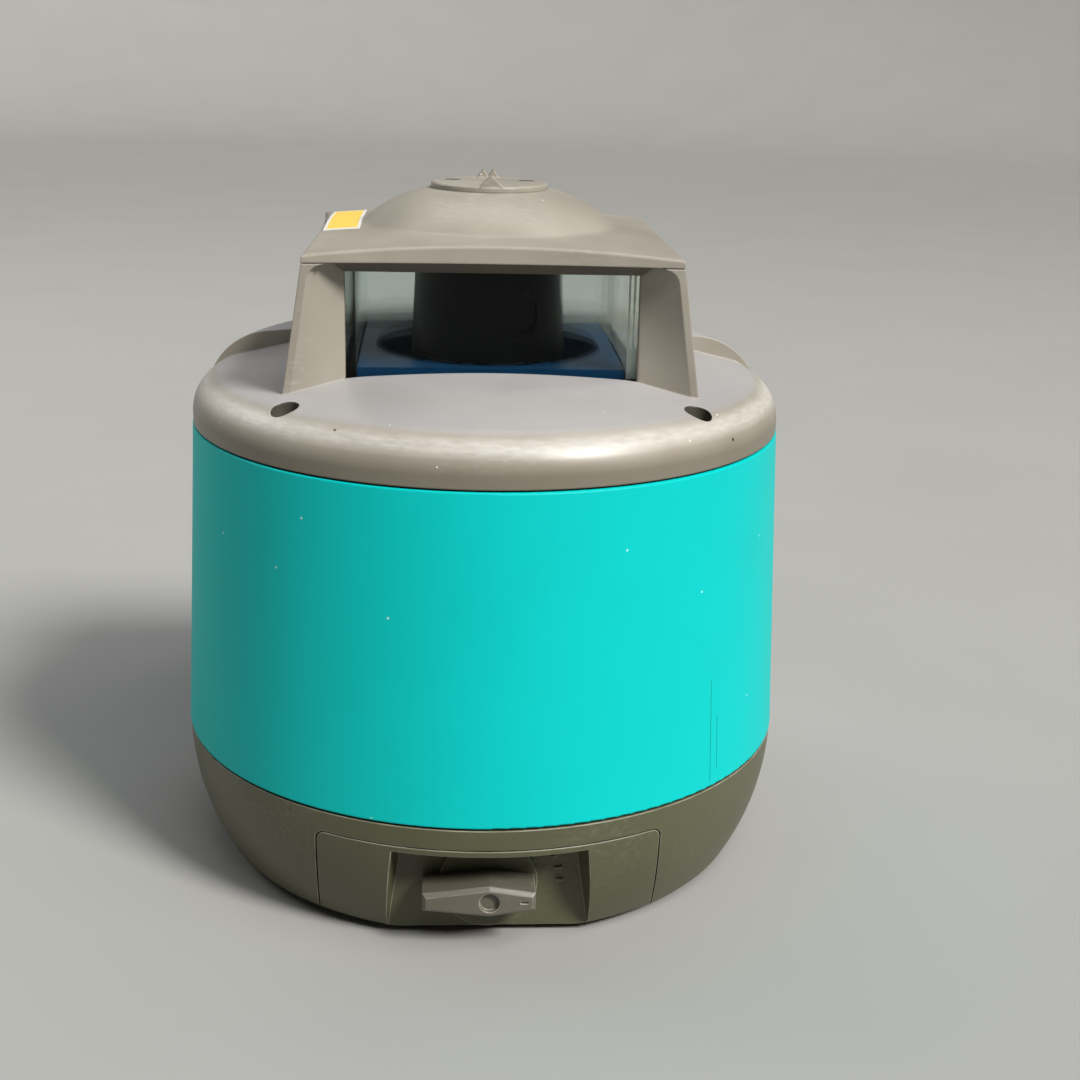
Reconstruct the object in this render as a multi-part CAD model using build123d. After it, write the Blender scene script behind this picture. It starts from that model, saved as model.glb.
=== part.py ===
from build123d import *
import os
from math import cos, radians, sin, sqrt, tan

# Rotary laser level, in millimetres. The floor is z = 0, the upright axis of the round body is Z,
# X runs to the right and Y away from someone who faces the battery door.

# Housing shells
FOOT_HEIGHT = 2.0
BASE_HEIGHT = 39.0          # floor to the lower seam
BAND_HEIGHT = 91.2          # lower seam to the upper seam
LOWER_RADIUS = 89.6
UPPER_RADIUS = 85.5
SEAM_GAP = 0.6
SEAM_STEP = 0.2             # base and cover lie this far inside the band
SEAL_RECESS = 0.8
SEAL_WIDTH = 1.8
WALL = 3.0
BASE_FLOOR = 2.5
BASE_BULGE = 71.0           # radius of the bulged side of the base
BASE_EDGE = 3.0
BAND_EDGE = 0.5
SHOULDER_HEIGHT = 11.8      # upper seam to the sharp corner of the shoulder
SHOULDER_ROUND = 11.0
SHOULDER_SLOPE = 13.5       # degrees
CROWN_KNEE = 55.0           # the cover is flatter inside this radius
CROWN_SLOPE = 6.0           # degrees
CROWN_ROUND = 40.0
CONSOLE_HEIGHT = 19.3       # upper seam to the sharp corner of the higher operator's side
CONSOLE_ROUND = 19.0
CONSOLE_SLOPE = 5.2         # degrees
CONSOLE_FRONT = 16.0
CONSOLE_RAMP = 1.5

# Lantern: panes, pillars and roof
PANE_HALF = 40.2            # middle to the outer face of a pane
PANE_THICK = 3.5
PANE_VISIBLE = 26.5         # glass between deck and roof skirt
WINDOW_SEAL = 1.0
GLASS_GAP = 0.3
DECK_HEIGHT = 21.1          # upper seam to the deck inside the glass
DECK_HOLE = 32.6
DECK_RAISE = 4.8            # deck above the flange that the panes stand on
FLANGE_THICK = 3.0
FLANGE_HALF = 44.0
ROOF_HALF = 50.0
ROOF_EDGE_DIP = 3.0         # the long edges curve in by this much
ROOF_CORNER = 2.0           # height of the fascia at a corner
ROOF_SKIRT = 3.2            # the soffit falls by this much towards the glass
SKIRT_LEDGE = 0.6           # level part of the soffit behind the fascia
SKIRT_WALL = 2.8            # lip of the skirt inside the glass
ROOF_CROWN = 537.0          # radius of the crowned roof
ROOF_ROUND = 0.8
ROOF_GAP = 0.25             # parting line between pillars and roof
PILLAR_FOOT_X = 56.5        # outer corner of a pillar's foot, inside the cover
PILLAR_FOOT_Y = 44.3
PILLAR_RIM = 2.0
PILLAR_LAP = 1.0            # cover of a pillar over the edge of a pane
PILLAR_HEAD = 4.0           # round between a pillar and the roof
PEG_RADIUS = 1.0
PEG_HEIGHT = 1.4
DOME_FOOT = 36.5
DOME_RISE = 9.8             # dome foot to the sight disc
DOME_BULGE_OUT = 0.52       # a point on the dome's flank, as shares of its width and rise
DOME_BULGE_UP = 0.65
DOME_BLEND = 4.0
DOME_SHELL = 4.0
SIGHT_RADIUS = 16.7
SIGHT_THICK = 1.7
PEAK_WIDTH = 6.4
PEAK_HEIGHT = 3.0
PEAK_DEPTH = 3.6
NOTCH_WIDTH = 3.4
NOTCH_HEIGHT = 2.3
NOTCH_PITCH = 2.9
SIGHT_SCREW_X = 10.6
SIGHT_SCREW_Y = 4.5
SIGHT_SCREW_HEAD = 2.2
SIGHT_SCREW_SHANK = 1.0
SIGHT_SCREW_SLOT = 0.6

# Fasteners, feet and tripod seat
BOLT_EDGE = 8.3             # outside of the narrower end of the body to a bolt's axis
BOLT_ANGLE = 45.2           # degrees
BOLT_SHANK = 2.0
BOLT_HEAD = 3.2
BOLT_HEAD_HEIGHT = 4.0
BOLT_WELL = 3.7             # radius of the deep hole over a bolt head
BOLT_SEAT = 9.8             # upper seam to the top of a bolt head
BOLT_TIP = 16.0
BOSS_RADIUS = 5.5
FIT_GAP = 0.1
FEET_PLACE = 41.0
FOOT_RADIUS = 6.0
FOOT_STEM = 2.5
THREAD_RADIUS = 6.75        # plain wall of a 5/8 inch tripod thread
INSERT_RADIUS = 10.5
INSERT_HEIGHT = 16.0
SEAT_RADIUS = 34.0
SEAT_SCREW_PLACE = 18.4
SEAT_SCREW_HEAD = 2.8
SEAT_SCREW_SHANK = 1.5

# Battery drawer and latch
DOOR_HALF = 46.6
DOOR_GAP = 0.4
DOOR_DROP = 6.5             # lower seam to the top of the door
DOOR_CORNER = 2.5
DOOR_SPLIT = 64.0           # the door's lip meets the base floor here
RECESS_DROP = 1.7           # door top to the recess
RECESS_TOP_HALF = 23.5
RECESS_FOOT_HALF = 28.5
RECESS_SPLAY = 4.0
RECESS_WALL = 2.5
LATCH_Z = 16.0
LATCH_SHAFT = 3.0
LATCH_PLATE = 13.5
LATCH_PLATE_THICK = 1.2
KNOB_LENGTH = 30.5
KNOB_SHIFT = 2.8            # the knob's middle lies this far left of its axis
KNOB_HEIGHT = 9.0
KNOB_END = 5.0
KNOB_DEPTH = 11.3
KNOB_GAP = 0.3
KNOB_BEVEL = 1.0
KNOB_DIMPLE = 2.75
KNOB_DIMPLE_DEPTH = 1.4
KNOB_MARK = 0.6
CAM_LENGTH = 19.0
CAM_HALF = 2.5
CAM_HUB = 5.0
CAM_THICK = 2.0
CAM_SQUARE = 3.6
CAM_CLEAR = 4.3             # latch cam to the tray behind it
KEEPER_THICK = 2.5
TRAY_GAP = 0.3
TRAY_WALL = 1.2
TRAY_FLOOR = 2.0
TRAY_HEIGHT = 19.2
TRAY_REAR_GAP = 0.6         # tripod insert to the tray's rear wall
CELL_RADIUS = 13.1
CELL_LENGTH = 50.0
CELL_NUB = 1.5
CELL_NUB_RADIUS = 3.0
CELL_PITCH = 26.4
CELL_SINK = 1.2             # depth of the cradles in the tray floor
CELL_COUNT = 3
CONTACT_THICK = 0.5
CONTACT_HALF = 9.0
CONTACT_GAP = 0.2
BLADE_THICK = 0.6
BLADE_STAND = 6.0
GUIDE_WIDTH = 2.0
GUIDE_HEIGHT = 4.5
GUIDE_SETBACK = 2.0         # drawer guides start this far behind the door's lip

# Operator panel
FACET_TILT = 40.0           # degrees from level
FACET_Y = 74.4
FACET_Z = 11.6              # upper seam to the middle of the facet
PANEL_WIDTH = 54.0
PANEL_DEPTH = 16.0
PANEL_THICK = 1.2
PANEL_SINK = 0.8
PANEL_CORNER = 4.0
BUTTON_RADIUS = 4.0
BUTTON_PITCH = 17.0
BUTTON_LOW = 2.0
BUTTON_PROUD = 1.2
BUTTON_LIP = 1.0
BUTTON_LIP_THICK = 0.8
BUTTON_TRAVEL = 0.8
BUTTON_GAP = 0.3
LENS_RADIUS = 1.3
LENS_HIGH = 5.2
BOARD_THICK = 1.6
PANEL_BOARD_WIDTH = 56.0
PANEL_BOARD_DEPTH = 14.0
SWITCH_RADIUS = 2.5

# Chassis and gimbal
POST_EDGE = 2.8             # edge of the chassis plate to a post's axis
POST_ANGLE = 29.45          # degrees
POST_RADIUS = 5.0
CHASSIS_Z = 44.0
CHASSIS_THICK = 4.0
CHASSIS_GAP = 1.2           # tie bolts to the edge of the chassis plate
CHASSIS_BORE = 26.0
SCREW_SHANK = 1.5
SCREW_HEAD = 2.8
SCREW_HEAD_HEIGHT = 2.0
SCREW_LENGTH = 10.0
GIMBAL_Z = 104.0
RING_HEIGHT = 8.0
CARRIER_INNER = 45.0
CARRIER_OUTER = 52.0
CARRIER_POST = 3.0
RING_INNER = 34.0
RING_OUTER = 41.0
HUB_RADIUS = 31.0
HUB_HEIGHT = 10.0
PIN_RADIUS = 2.0
PIN_RUN = 0.05              # running clearance round a pivot pin
PIN_PRESS = 0.01
PIN_INSET = 0.5
PIN_IN_HUB = 4.0
BOARD_Y = 58.0
BOARD_HALF = 36.0
BOARD_HEIGHT = 58.0
BOARD_FOOT_X = 26.0
BOARD_FOOT = 5.0
CHIP_HEIGHT = 1.6
# Middle along the board, height over its lower edge and half sizes of each large component
CHIPS = [(-18, 34, 9, 9), (10, 38, 7, 5), (14, 22, 4, 4), (-24, 16, 4, 4), (0, 50, 5, 4)]

# Laser tube, spindle and turret
TUBE_BOTTOM = 60.0
TUBE_OUTER = 18.0
TUBE_INNER = 15.0
HOUSING_RADIUS = 20.0
HOUSING_TOP = 126.0
BEARING_OUTER = 16.0
BEARING_WIDTH = 7.0
BEARING_LOW = 104.0
BEARING_HIGH = 118.0
BEARING_SHOULDER = 14.0
SPINDLE_RADIUS = 10.0
SPINDLE_BORE = 7.0
SPINDLE_BOTTOM = 102.0
PULLEY_Z = 128.0
PULLEY_WIDTH = 5.0
PULLEY_GROOVE = 20.0
PULLEY_LIP = 2.0
PULLEY_LIP_WIDTH = 1.0
MOTOR_GROOVE = 5.0
MOTOR_OFFSET = 34.0
MOTOR_ANGLE = 225.0
MOTOR_RADIUS = 8.0
MOTOR_LENGTH = 11.0
MOTOR_SHAFT = 1.0
BRACKET_THICK = 3.0
BELT_THICK = 0.8
BELT_GAP = 0.06
BELT_SIDE_GAP = 0.2
MODULE_FLANGE = 6.0
MODULE_INSIDE = 12.0
LENS_Z = 91.0
LENS_THICK = 5.0
LENS_CURVE = 45.0
LENS_SEAT_RADIUS = 12.0
VIAL_Z = 70.0
VIAL_RADIUS = 3.0
VIAL_LENGTH = 22.0
VIAL_SADDLE = 7.0
TURRET_RADIUS = 21.0
TURRET_FLARE = 1.2
TURRET_SINK = 2.3           # the turret starts this far below the deck
TURRET_WALL = 2.5
TURRET_FLOOR = 7.5
PRISM_SIDE = 13.0
PRISM_GAP = 0.1
PRISM_HEADROOM = 0.75
CHEEK = 2.0
APERTURE_RADIUS = 6.8
APERTURE_AIM = 20.0         # degrees to the right of the door at rest
APERTURE_LENS = 1.5

# Levelling drives
ARM_DROP = 18.0
ARM_REACH = 50.0
ARM_WIDTH = 10.0
ARM_THICK = 4.0
JAW_LENGTH = 10.5
JAW_BACK = 1.0
JAW_WALL = 2.6
BALL_RADIUS = 2.0
BALL_PLAY = 0.4
FINGER_RADIUS = 1.2
FINGER_REACH = 15.0         # ball of a nut to its lead screw
DRIVE_SCREW = 2.5
DRIVE_RUN = 0.1
DRIVE_TOP = 104.0
DRIVE_MOTOR = 9.0
DRIVE_MOTOR_HEIGHT = 18.0
DRIVE_PLATE = 2.0
NUT_HALF = 6.0
NUT_DEPTH = 10.0
NUT_HEIGHT = 8.0
GUIDE_OFFSET = 9.0
GUIDE_RADIUS = 1.5
GUIDE_RUN = 0.2

# Levels that follow from the sizes above
BASE_TOP = BASE_HEIGHT - SEAM_GAP / 2
BAND_BOTTOM = BASE_HEIGHT + SEAM_GAP / 2
UPPER_SEAM = BASE_HEIGHT + BAND_HEIGHT
BAND_TOP = UPPER_SEAM - SEAM_GAP / 2
COVER_BOTTOM = UPPER_SEAM + SEAM_GAP / 2
FLOOR_TOP = FOOT_HEIGHT + BASE_FLOOR
COVER_RADIUS = UPPER_RADIUS - SEAM_STEP
BASE_RADIUS = LOWER_RADIUS - SEAM_STEP
DECK = UPPER_SEAM + DECK_HEIGHT
FLANGE_TOP = DECK - DECK_RAISE
PANE_BOTTOM = FLANGE_TOP + WINDOW_SEAL
SKIRT_BOTTOM = DECK + PANE_VISIBLE
SOFFIT = SKIRT_BOTTOM + ROOF_SKIRT
PANE_TOP = SOFFIT - WINDOW_SEAL
PANE_INNER = PANE_HALF - PANE_THICK
ROOF_CORNER_TOP = SOFFIT + ROOF_CORNER
DOOR_TOP = BASE_HEIGHT - DOOR_DROP
TRAY_BOTTOM = FLOOR_TOP + TRAY_GAP
TRAY_BACK = INSERT_RADIUS + TRAY_REAR_GAP
TRAY_INSIDE_BACK = TRAY_BACK + TRAY_WALL
TRAY_INSIDE_FRONT = TRAY_INSIDE_BACK + CELL_LENGTH + 2 * (CONTACT_THICK + CONTACT_GAP)
TRAY_FRONT = TRAY_INSIDE_FRONT + TRAY_WALL
CAM_BACK = TRAY_FRONT + CAM_CLEAR
RECESS_DEPTH = CAM_BACK + CAM_THICK + KNOB_GAP + RECESS_WALL
TRAY_INSIDE_HALF = (CELL_COUNT - 1) / 2 * CELL_PITCH + CELL_RADIUS + TRAY_GAP
TRAY_HALF = TRAY_INSIDE_HALF + TRAY_WALL
CELL_Z = TRAY_BOTTOM + TRAY_FLOOR - CELL_SINK + CONTACT_GAP + CELL_RADIUS
CELL_PLACES = [(i - (CELL_COUNT - 1) / 2) * CELL_PITCH for i in range(CELL_COUNT)]
BOLT_CIRCLE = min(LOWER_RADIUS, UPPER_RADIUS) - BOLT_EDGE
BOLT_X = BOLT_CIRCLE * cos(radians(BOLT_ANGLE))
BOLT_Y = BOLT_CIRCLE * sin(radians(BOLT_ANGLE))
CHASSIS_RADIUS = BOLT_CIRCLE - BOLT_SHANK - CHASSIS_GAP
POST_X = (CHASSIS_RADIUS - POST_EDGE) * cos(radians(POST_ANGLE))
POST_Y = (CHASSIS_RADIUS - POST_EDGE) * sin(radians(POST_ANGLE))
CHASSIS_TOP = CHASSIS_Z + CHASSIS_THICK
ARM_Z = GIMBAL_Z - ARM_DROP
DRIVE_REACH = ARM_REACH + FINGER_REACH
TURRET_BOTTOM = DECK - TURRET_SINK
PRISM_FLOOR = TURRET_BOTTOM + TURRET_FLOOR
PRISM_TOP = PRISM_FLOOR + PRISM_GAP + PRISM_SIDE * sqrt(2)
TURRET_TOP = PRISM_TOP + PRISM_HEADROOM + TURRET_WALL / 2
BEAM_Z = PRISM_FLOOR + PRISM_GAP + PRISM_SIDE / 2
CORNERS = [(1, 1), (-1, 1), (-1, -1), (1, -1)]


def block(x0, x1, y0, y1, z0, z1):
    """Box between two corners."""
    return Pos((x0 + x1) / 2, (y0 + y1) / 2, (z0 + z1) / 2) * Box(x1 - x0, y1 - y0, z1 - z0)


def square(half, z0, z1):
    """Upright square bar on the Z axis."""
    return block(-half, half, -half, half, z0, z1)


def rod(radius, x, y, z0, z1):
    """Upright round bar."""
    return Pos(x, y, (z0 + z1) / 2) * Cylinder(radius, z1 - z0)


def rod_x(radius, x0, x1, y, z):
    """Round bar along X."""
    return Pos((x0 + x1) / 2, y, z) * Rot(0, 90, 0) * Cylinder(radius, x1 - x0)


def rod_y(radius, x, y0, y1, z):
    """Round bar along Y."""
    return Pos(x, (y0 + y1) / 2, z) * Rot(90, 0, 0) * Cylinder(radius, y1 - y0)


def turned(points, rounds=None):
    """Solid turned about Z from (radius, height) corners, each with its own round."""
    if rounds:
        outline = FilletPolyline(*points, radius=rounds, close=True)
    else:
        outline = Polyline(*points, close=True)
    return revolve(Plane.XZ * make_face(outline), Axis.Z)


def front_face(points, distance, rounds=None):
    """Face with (x, z) corners, square to Y, on the door side at this distance from the middle."""
    if rounds:
        outline = FilletPolyline(*points, radius=rounds, close=True)
    else:
        outline = Polyline(*points, close=True)
    return Plane((0, -distance, 0), x_dir=(1, 0, 0), z_dir=(0, -1, 0)) * make_face(outline)


def level_face(points, z):
    """Level face with (x, y) corners."""
    return Pos(0, 0, z) * make_face(Polyline(*points, close=True))


def joined(pieces):
    """One solid from pieces that meet."""
    whole = pieces[0]
    for piece in pieces[1:]:
        whole = whole + piece
    return whole


def group(pieces):
    """Separate solids kept side by side."""
    return Compound(children=list(pieces))


# Base

def base_form(inset=0.0, floor=0.0):
    """Bulged round body of the base, or the hollow inside it."""
    middle = BASE_RADIUS - BASE_BULGE
    bulge = BASE_BULGE - inset
    bottom = FOOT_HEIGHT + floor
    half_way = (bottom + BASE_TOP) / 2

    def reach(z):
        return middle + sqrt(bulge**2 - (BASE_TOP - z) ** 2)

    outline = [
        Line((0, bottom), (reach(bottom), bottom)),
        ThreePointArc((reach(bottom), bottom), (reach(half_way), half_way), (reach(BASE_TOP), BASE_TOP)),
        Line((reach(BASE_TOP), BASE_TOP), (0, BASE_TOP)),
        Line((0, BASE_TOP), (0, bottom)),
    ]
    face = make_face(outline)
    corner = face.vertices().sort_by_distance((reach(bottom), bottom))[0]
    return revolve(Plane.XZ * fillet(corner, BASE_EDGE), Axis.Z)


def door_space(gap):
    """Space of the door in the base, wider by a gap."""
    half = DOOR_HALF + gap
    top = DOOR_TOP + gap
    corners = [(-half, 0), (half, 0), (half, top), (-half, top)]
    rounds = [0, 0, DOOR_CORNER + gap, DOOR_CORNER + gap]
    return extrude(front_face(corners, DOOR_SPLIT - gap, rounds), LOWER_RADIUS - DOOR_SPLIT + WALL)


def latch_keeper():
    """Shelf over the drawer, with the slot that the latch cam turns up into."""
    shelf_bottom = DOOR_TOP + DOOR_GAP + TRAY_GAP
    slot_front = RECESS_DEPTH - RECESS_WALL + TRAY_GAP
    slot_back = CAM_BACK - TRAY_GAP
    back = slot_back - RECESS_WALL
    shelf = block(-DOOR_HALF, DOOR_HALF, -LOWER_RADIUS, -back, shelf_bottom, shelf_bottom + KEEPER_THICK)
    slot_half = CAM_LENGTH - CAM_HUB
    slot_top = shelf_bottom + 2 * KEEPER_THICK
    return shelf - block(-CAM_HUB, slot_half, -slot_front, -slot_back, shelf_bottom - 1, slot_top)


def base_housing():
    """Brown lower shell with bolt bosses, chassis posts, drawer guides and the latch keeper."""
    outer = base_form()
    shell = outer - base_form(WALL, BASE_FLOOR)
    for side_x, side_y in CORNERS:
        boss = rod(BOSS_RADIUS, side_x * BOLT_X, side_y * BOLT_Y, FOOT_HEIGHT, BASE_TOP)
        shell = shell + (boss & outer)
    for side_x, side_y in CORNERS:
        post = rod(POST_RADIUS, side_x * POST_X, side_y * POST_Y, FLOOR_TOP - 1, CHASSIS_Z)
        shell = shell + post
    guide_inner = TRAY_HALF + TRAY_GAP
    for side in (-1, 1):
        edges = sorted((side * guide_inner, side * (guide_inner + GUIDE_WIDTH)))
        guide = block(*edges, GUIDE_SETBACK - DOOR_SPLIT, -TRAY_BACK, FLOOR_TOP - 1, FLOOR_TOP + GUIDE_HEIGHT)
        shell = shell + guide
    shell = shell + (latch_keeper() & outer)
    for place in blade_places():
        front = -TRAY_BACK + CONTACT_GAP + BLADE_THICK
        stand = block(place - CONTACT_HALF / 2, place + CONTACT_HALF / 2, front, front + BLADE_STAND,
                      FLOOR_TOP - 1, CELL_Z + CELL_NUB_RADIUS)
        shell = shell + stand
    shell = shell - door_space(DOOR_GAP)
    screw_tip = CHASSIS_TOP - SCREW_LENGTH - 1
    holes = [
        (BOLT_SHANK, BOLT_X, BOLT_Y, BOLT_TIP - 1, BASE_TOP + 1),
        (SCREW_SHANK, POST_X, POST_Y, screw_tip, CHASSIS_Z + 1),
        (FOOT_STEM, FEET_PLACE, FEET_PLACE, 0, FLOOR_TOP + 1),
        (SEAT_SCREW_SHANK, SEAT_SCREW_PLACE, SEAT_SCREW_PLACE, 0, FLOOR_TOP + 1),
    ]
    for side_x, side_y in CORNERS:
        for radius, x, y, low, high in holes:
            shell = shell - rod(radius + FIT_GAP, side_x * x, side_y * y, low, high)
    return shell - rod(INSERT_RADIUS + FIT_GAP, 0, 0, 0, FLOOR_TOP + 1)


def rubber_feet():
    """Four rubber pads, each with a stem pushed through the base floor."""
    feet = []
    for side_x, side_y in CORNERS:
        x = side_x * FEET_PLACE
        y = side_y * FEET_PLACE
        feet.append(rod(FOOT_RADIUS, x, y, 0, FOOT_HEIGHT) + rod(FOOT_STEM, x, y, 0, FLOOR_TOP))
    return group(feet)


def tripod_insert():
    """Metal seat plate and threaded socket for a tripod screw."""
    insert = rod(SEAT_RADIUS, 0, 0, 0, FOOT_HEIGHT) + rod(INSERT_RADIUS, 0, 0, 0, INSERT_HEIGHT)
    insert = insert - rod(THREAD_RADIUS, 0, 0, -1, INSERT_HEIGHT + 1)
    for side_x, side_y in CORNERS:
        x = side_x * SEAT_SCREW_PLACE
        y = side_y * SEAT_SCREW_PLACE
        insert = insert - rod(SEAT_SCREW_SHANK + FIT_GAP, x, y, -1, FOOT_HEIGHT + 1)
        insert = insert - rod(SEAT_SCREW_HEAD + FIT_GAP, x, y, -1, FOOT_HEIGHT / 2)
    return insert


def insert_screws():
    """Four short screws that hold the seat plate under the base."""
    screws = []
    for side_x, side_y in CORNERS:
        x = side_x * SEAT_SCREW_PLACE
        y = side_y * SEAT_SCREW_PLACE
        head = rod(SEAT_SCREW_HEAD, x, y, FIT_GAP, FOOT_HEIGHT / 2)
        screws.append(head + rod(SEAT_SCREW_SHANK, x, y, FIT_GAP, FLOOR_TOP))
    return group(screws)


# Band, seals and cover

def body_band():
    """Teal middle shell, a plain taper with rounded rims."""
    def taper(low, high):
        return [(0, BAND_BOTTOM), (low, BAND_BOTTOM), (high, BAND_TOP), (0, BAND_TOP)]

    outer = turned(taper(LOWER_RADIUS, UPPER_RADIUS), [0, BAND_EDGE, BAND_EDGE, 0])
    return outer - turned(taper(LOWER_RADIUS - WALL, UPPER_RADIUS - WALL))


def seam_seal(radius, z0, z1):
    """Rubber ring in a seam, set back from the outside."""
    outer = radius - SEAL_RECESS
    return rod(outer, 0, 0, z0, z1) - rod(outer - SEAL_WIDTH, 0, 0, z0 - 1, z1 + 1)


def shoulder_corner(height, slope, inset):
    """Height of the sharp corner where the wall of the cover meets a sloping top."""
    return UPPER_SEAM + height + inset * tan(slope) - inset / cos(slope)


def cover_form(inset=0.0):
    """Shoulder and crown of the cover, or the hollow inside it."""
    outer = radians(SHOULDER_SLOPE)
    inner = radians(CROWN_SLOPE)
    wall = COVER_RADIUS - inset
    corner = shoulder_corner(SHOULDER_HEIGHT, outer, inset)
    knee = CROWN_KNEE - inset * tan((outer + inner) / 2)
    knee_z = corner + (wall - knee) * tan(outer)
    peak = knee_z + knee * tan(inner)
    points = [(0, COVER_BOTTOM), (wall, COVER_BOTTOM), (wall, corner), (knee, knee_z), (0, peak)]
    return turned(points, [0, 0, SHOULDER_ROUND - inset, CROWN_ROUND - inset, 0])


def console_form(inset=0.0):
    """Higher shoulder and cone of the operator's side, all the way round."""
    slope = radians(CONSOLE_SLOPE)
    wall = COVER_RADIUS - inset
    corner = shoulder_corner(CONSOLE_HEIGHT, slope, inset)
    points = [(0, COVER_BOTTOM), (wall, COVER_BOTTOM), (wall, corner), (0, corner + wall * tan(slope))]
    return turned(points, [0, 0, CONSOLE_ROUND - inset, 0])


def panel_plane(depth=0.0):
    """Plane of the operator's facet, sunk by a depth, with its Y axis up the slope."""
    tilt = radians(FACET_TILT)
    normal = Vector(0, sin(tilt), cos(tilt))
    middle = Vector(0, FACET_Y, UPPER_SEAM + FACET_Z) - normal * depth
    return Plane(middle, x_dir=(-1, 0, 0), z_dir=normal)


def facet_cut(depth=0.0):
    """Everything outside the operator's facet, sunk by a depth."""
    size = 2 * COVER_RADIUS
    return extrude(panel_plane(depth) * Rectangle(size, size), size)


def console(inset=0.0):
    """Raised operator's side of the cover, clear of the lantern."""
    reach = 2 * COVER_RADIUS
    top = DECK + CONSOLE_HEIGHT
    front = CONSOLE_FRONT + inset
    ramp = [(front, COVER_BOTTOM), (reach, COVER_BOTTOM), (reach, top), (front + CONSOLE_RAMP, top)]
    side = Plane((-reach, 0, 0), x_dir=(0, 1, 0), z_dir=(1, 0, 0)) * make_face(Polyline(*ramp, close=True))
    wedge = extrude(side, 2 * reach)
    side_x = PILLAR_FOOT_X + inset
    lantern_well = block(-side_x, side_x, -reach, PILLAR_FOOT_Y + inset, COVER_BOTTOM, top)
    return (console_form(inset) & wedge) - lantern_well


def pillar():
    """One corner pillar of the lantern, a thin kite that splays out from the glass corner."""
    glass = PANE_HALF + GLASS_GAP
    lap = PANE_HALF - PILLAR_LAP
    foot_z = UPPER_SEAM + SHOULDER_HEIGHT
    top_z = SOFFIT - ROOF_GAP

    def kite(x, y):
        return [(x, y), (x - PILLAR_RIM, y), (lap, glass), (lap, lap), (glass, lap), (x, y - PILLAR_RIM)]

    foot = level_face(kite(PILLAR_FOOT_X, PILLAR_FOOT_Y), foot_z)
    head = level_face(kite(ROOF_HALF, ROOF_HALF), top_z)
    shaft = loft([foot, head], ruled=True)
    return shaft + pillar_rounds(foot_z, top_z)


def window_round(lean, top_z):
    """Filled upper corner of a window opening beside a pillar whose edge leans by this slope."""
    inner = ROOF_HALF - PILLAR_RIM
    bend = PILLAR_HEAD * (1 - sqrt(0.5))
    corner = (ROOF_HALF - PILLAR_RIM / 2, top_z)
    start = (inner - PILLAR_HEAD, top_z)
    middle = (inner - bend + lean * bend, top_z - bend)
    end = (inner + lean * PILLAR_HEAD, top_z - PILLAR_HEAD)
    foot = (corner[0] + lean * PILLAR_HEAD, end[1])
    outline = [Line(corner, start), ThreePointArc(start, middle, end), Line(end, foot), Line(foot, corner)]
    back = Plane((0, ROOF_HALF + PILLAR_RIM, 0), x_dir=(1, 0, 0), z_dir=(0, -1, 0))
    return extrude(back * make_face(outline), 2 * PILLAR_RIM)


def pillar_rounds(foot_z, top_z):
    """Rounded upper corners of the two window openings beside a pillar, flush with its leaning faces."""
    height = top_z - foot_z
    across = window_round((PILLAR_FOOT_X - ROOF_HALF) / height, top_z)
    along = window_round((PILLAR_FOOT_Y - ROOF_HALF) / height, top_z)
    along = mirror(along, Plane((0, 0, 0), x_dir=(1, 1, 0), z_dir=(-1, 1, 0)))

    def square(x, y, z):
        return level_face([(0, 0), (x, 0), (x, y), (0, y)], z)

    foot = square(PILLAR_FOOT_X, PILLAR_FOOT_Y, foot_z)
    head = square(ROOF_HALF, ROOF_HALF, top_z)
    inside = loft([foot, head], ruled=True)
    return [across & inside, along & inside]


def bolt_well(x, y):
    """Deep round hole over a tie bolt, and the bolt's own hole."""
    head_bottom = UPPER_SEAM + BOLT_SEAT - BOLT_HEAD_HEIGHT
    top = UPPER_SEAM + CONSOLE_HEIGHT + WALL
    return rod(BOLT_WELL, x, y, head_bottom, top) + rod(BOLT_SHANK + FIT_GAP, x, y, COVER_BOTTOM - 1, top)


def panel_cuts():
    """Pocket, button holes and lens holes in the operator's facet."""
    deep = 2 * WALL
    pocket = RectangleRounded(PANEL_WIDTH + 2 * FIT_GAP, PANEL_DEPTH + 2 * FIT_GAP, PANEL_CORNER)
    cuts = [extrude(panel_plane(PANEL_SINK) * pocket, deep)]
    for place in (-1, 0, 1):
        hole = Pos(place * BUTTON_PITCH, -BUTTON_LOW) * Circle(BUTTON_RADIUS + BUTTON_GAP)
        cuts.append(extrude(panel_plane(deep) * hole, 2 * deep))
        lens = Pos(place * BUTTON_PITCH, LENS_HIGH) * Circle(LENS_RADIUS + FIT_GAP)
        cuts.append(extrude(panel_plane(deep) * lens, 2 * deep))
    return cuts


def board_bosses():
    """Two pads behind the facet that carry the panel board."""
    pads = []
    for side in (-1, 1):
        pad = Pos(side * (PANEL_BOARD_WIDTH / 2 - SCREW_HEAD), -BUTTON_LOW) * Circle(SCREW_HEAD - PIN_RUN)
        pads.append(extrude(panel_plane(panel_board_depth()) * pad, panel_board_depth() - WALL / 2))
    return pads


def panel_board_depth():
    """Depth of the panel board's face under the facet."""
    return WALL + BUTTON_GAP + BUTTON_LIP_THICK + BUTTON_TRAVEL + BUTTON_GAP


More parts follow.
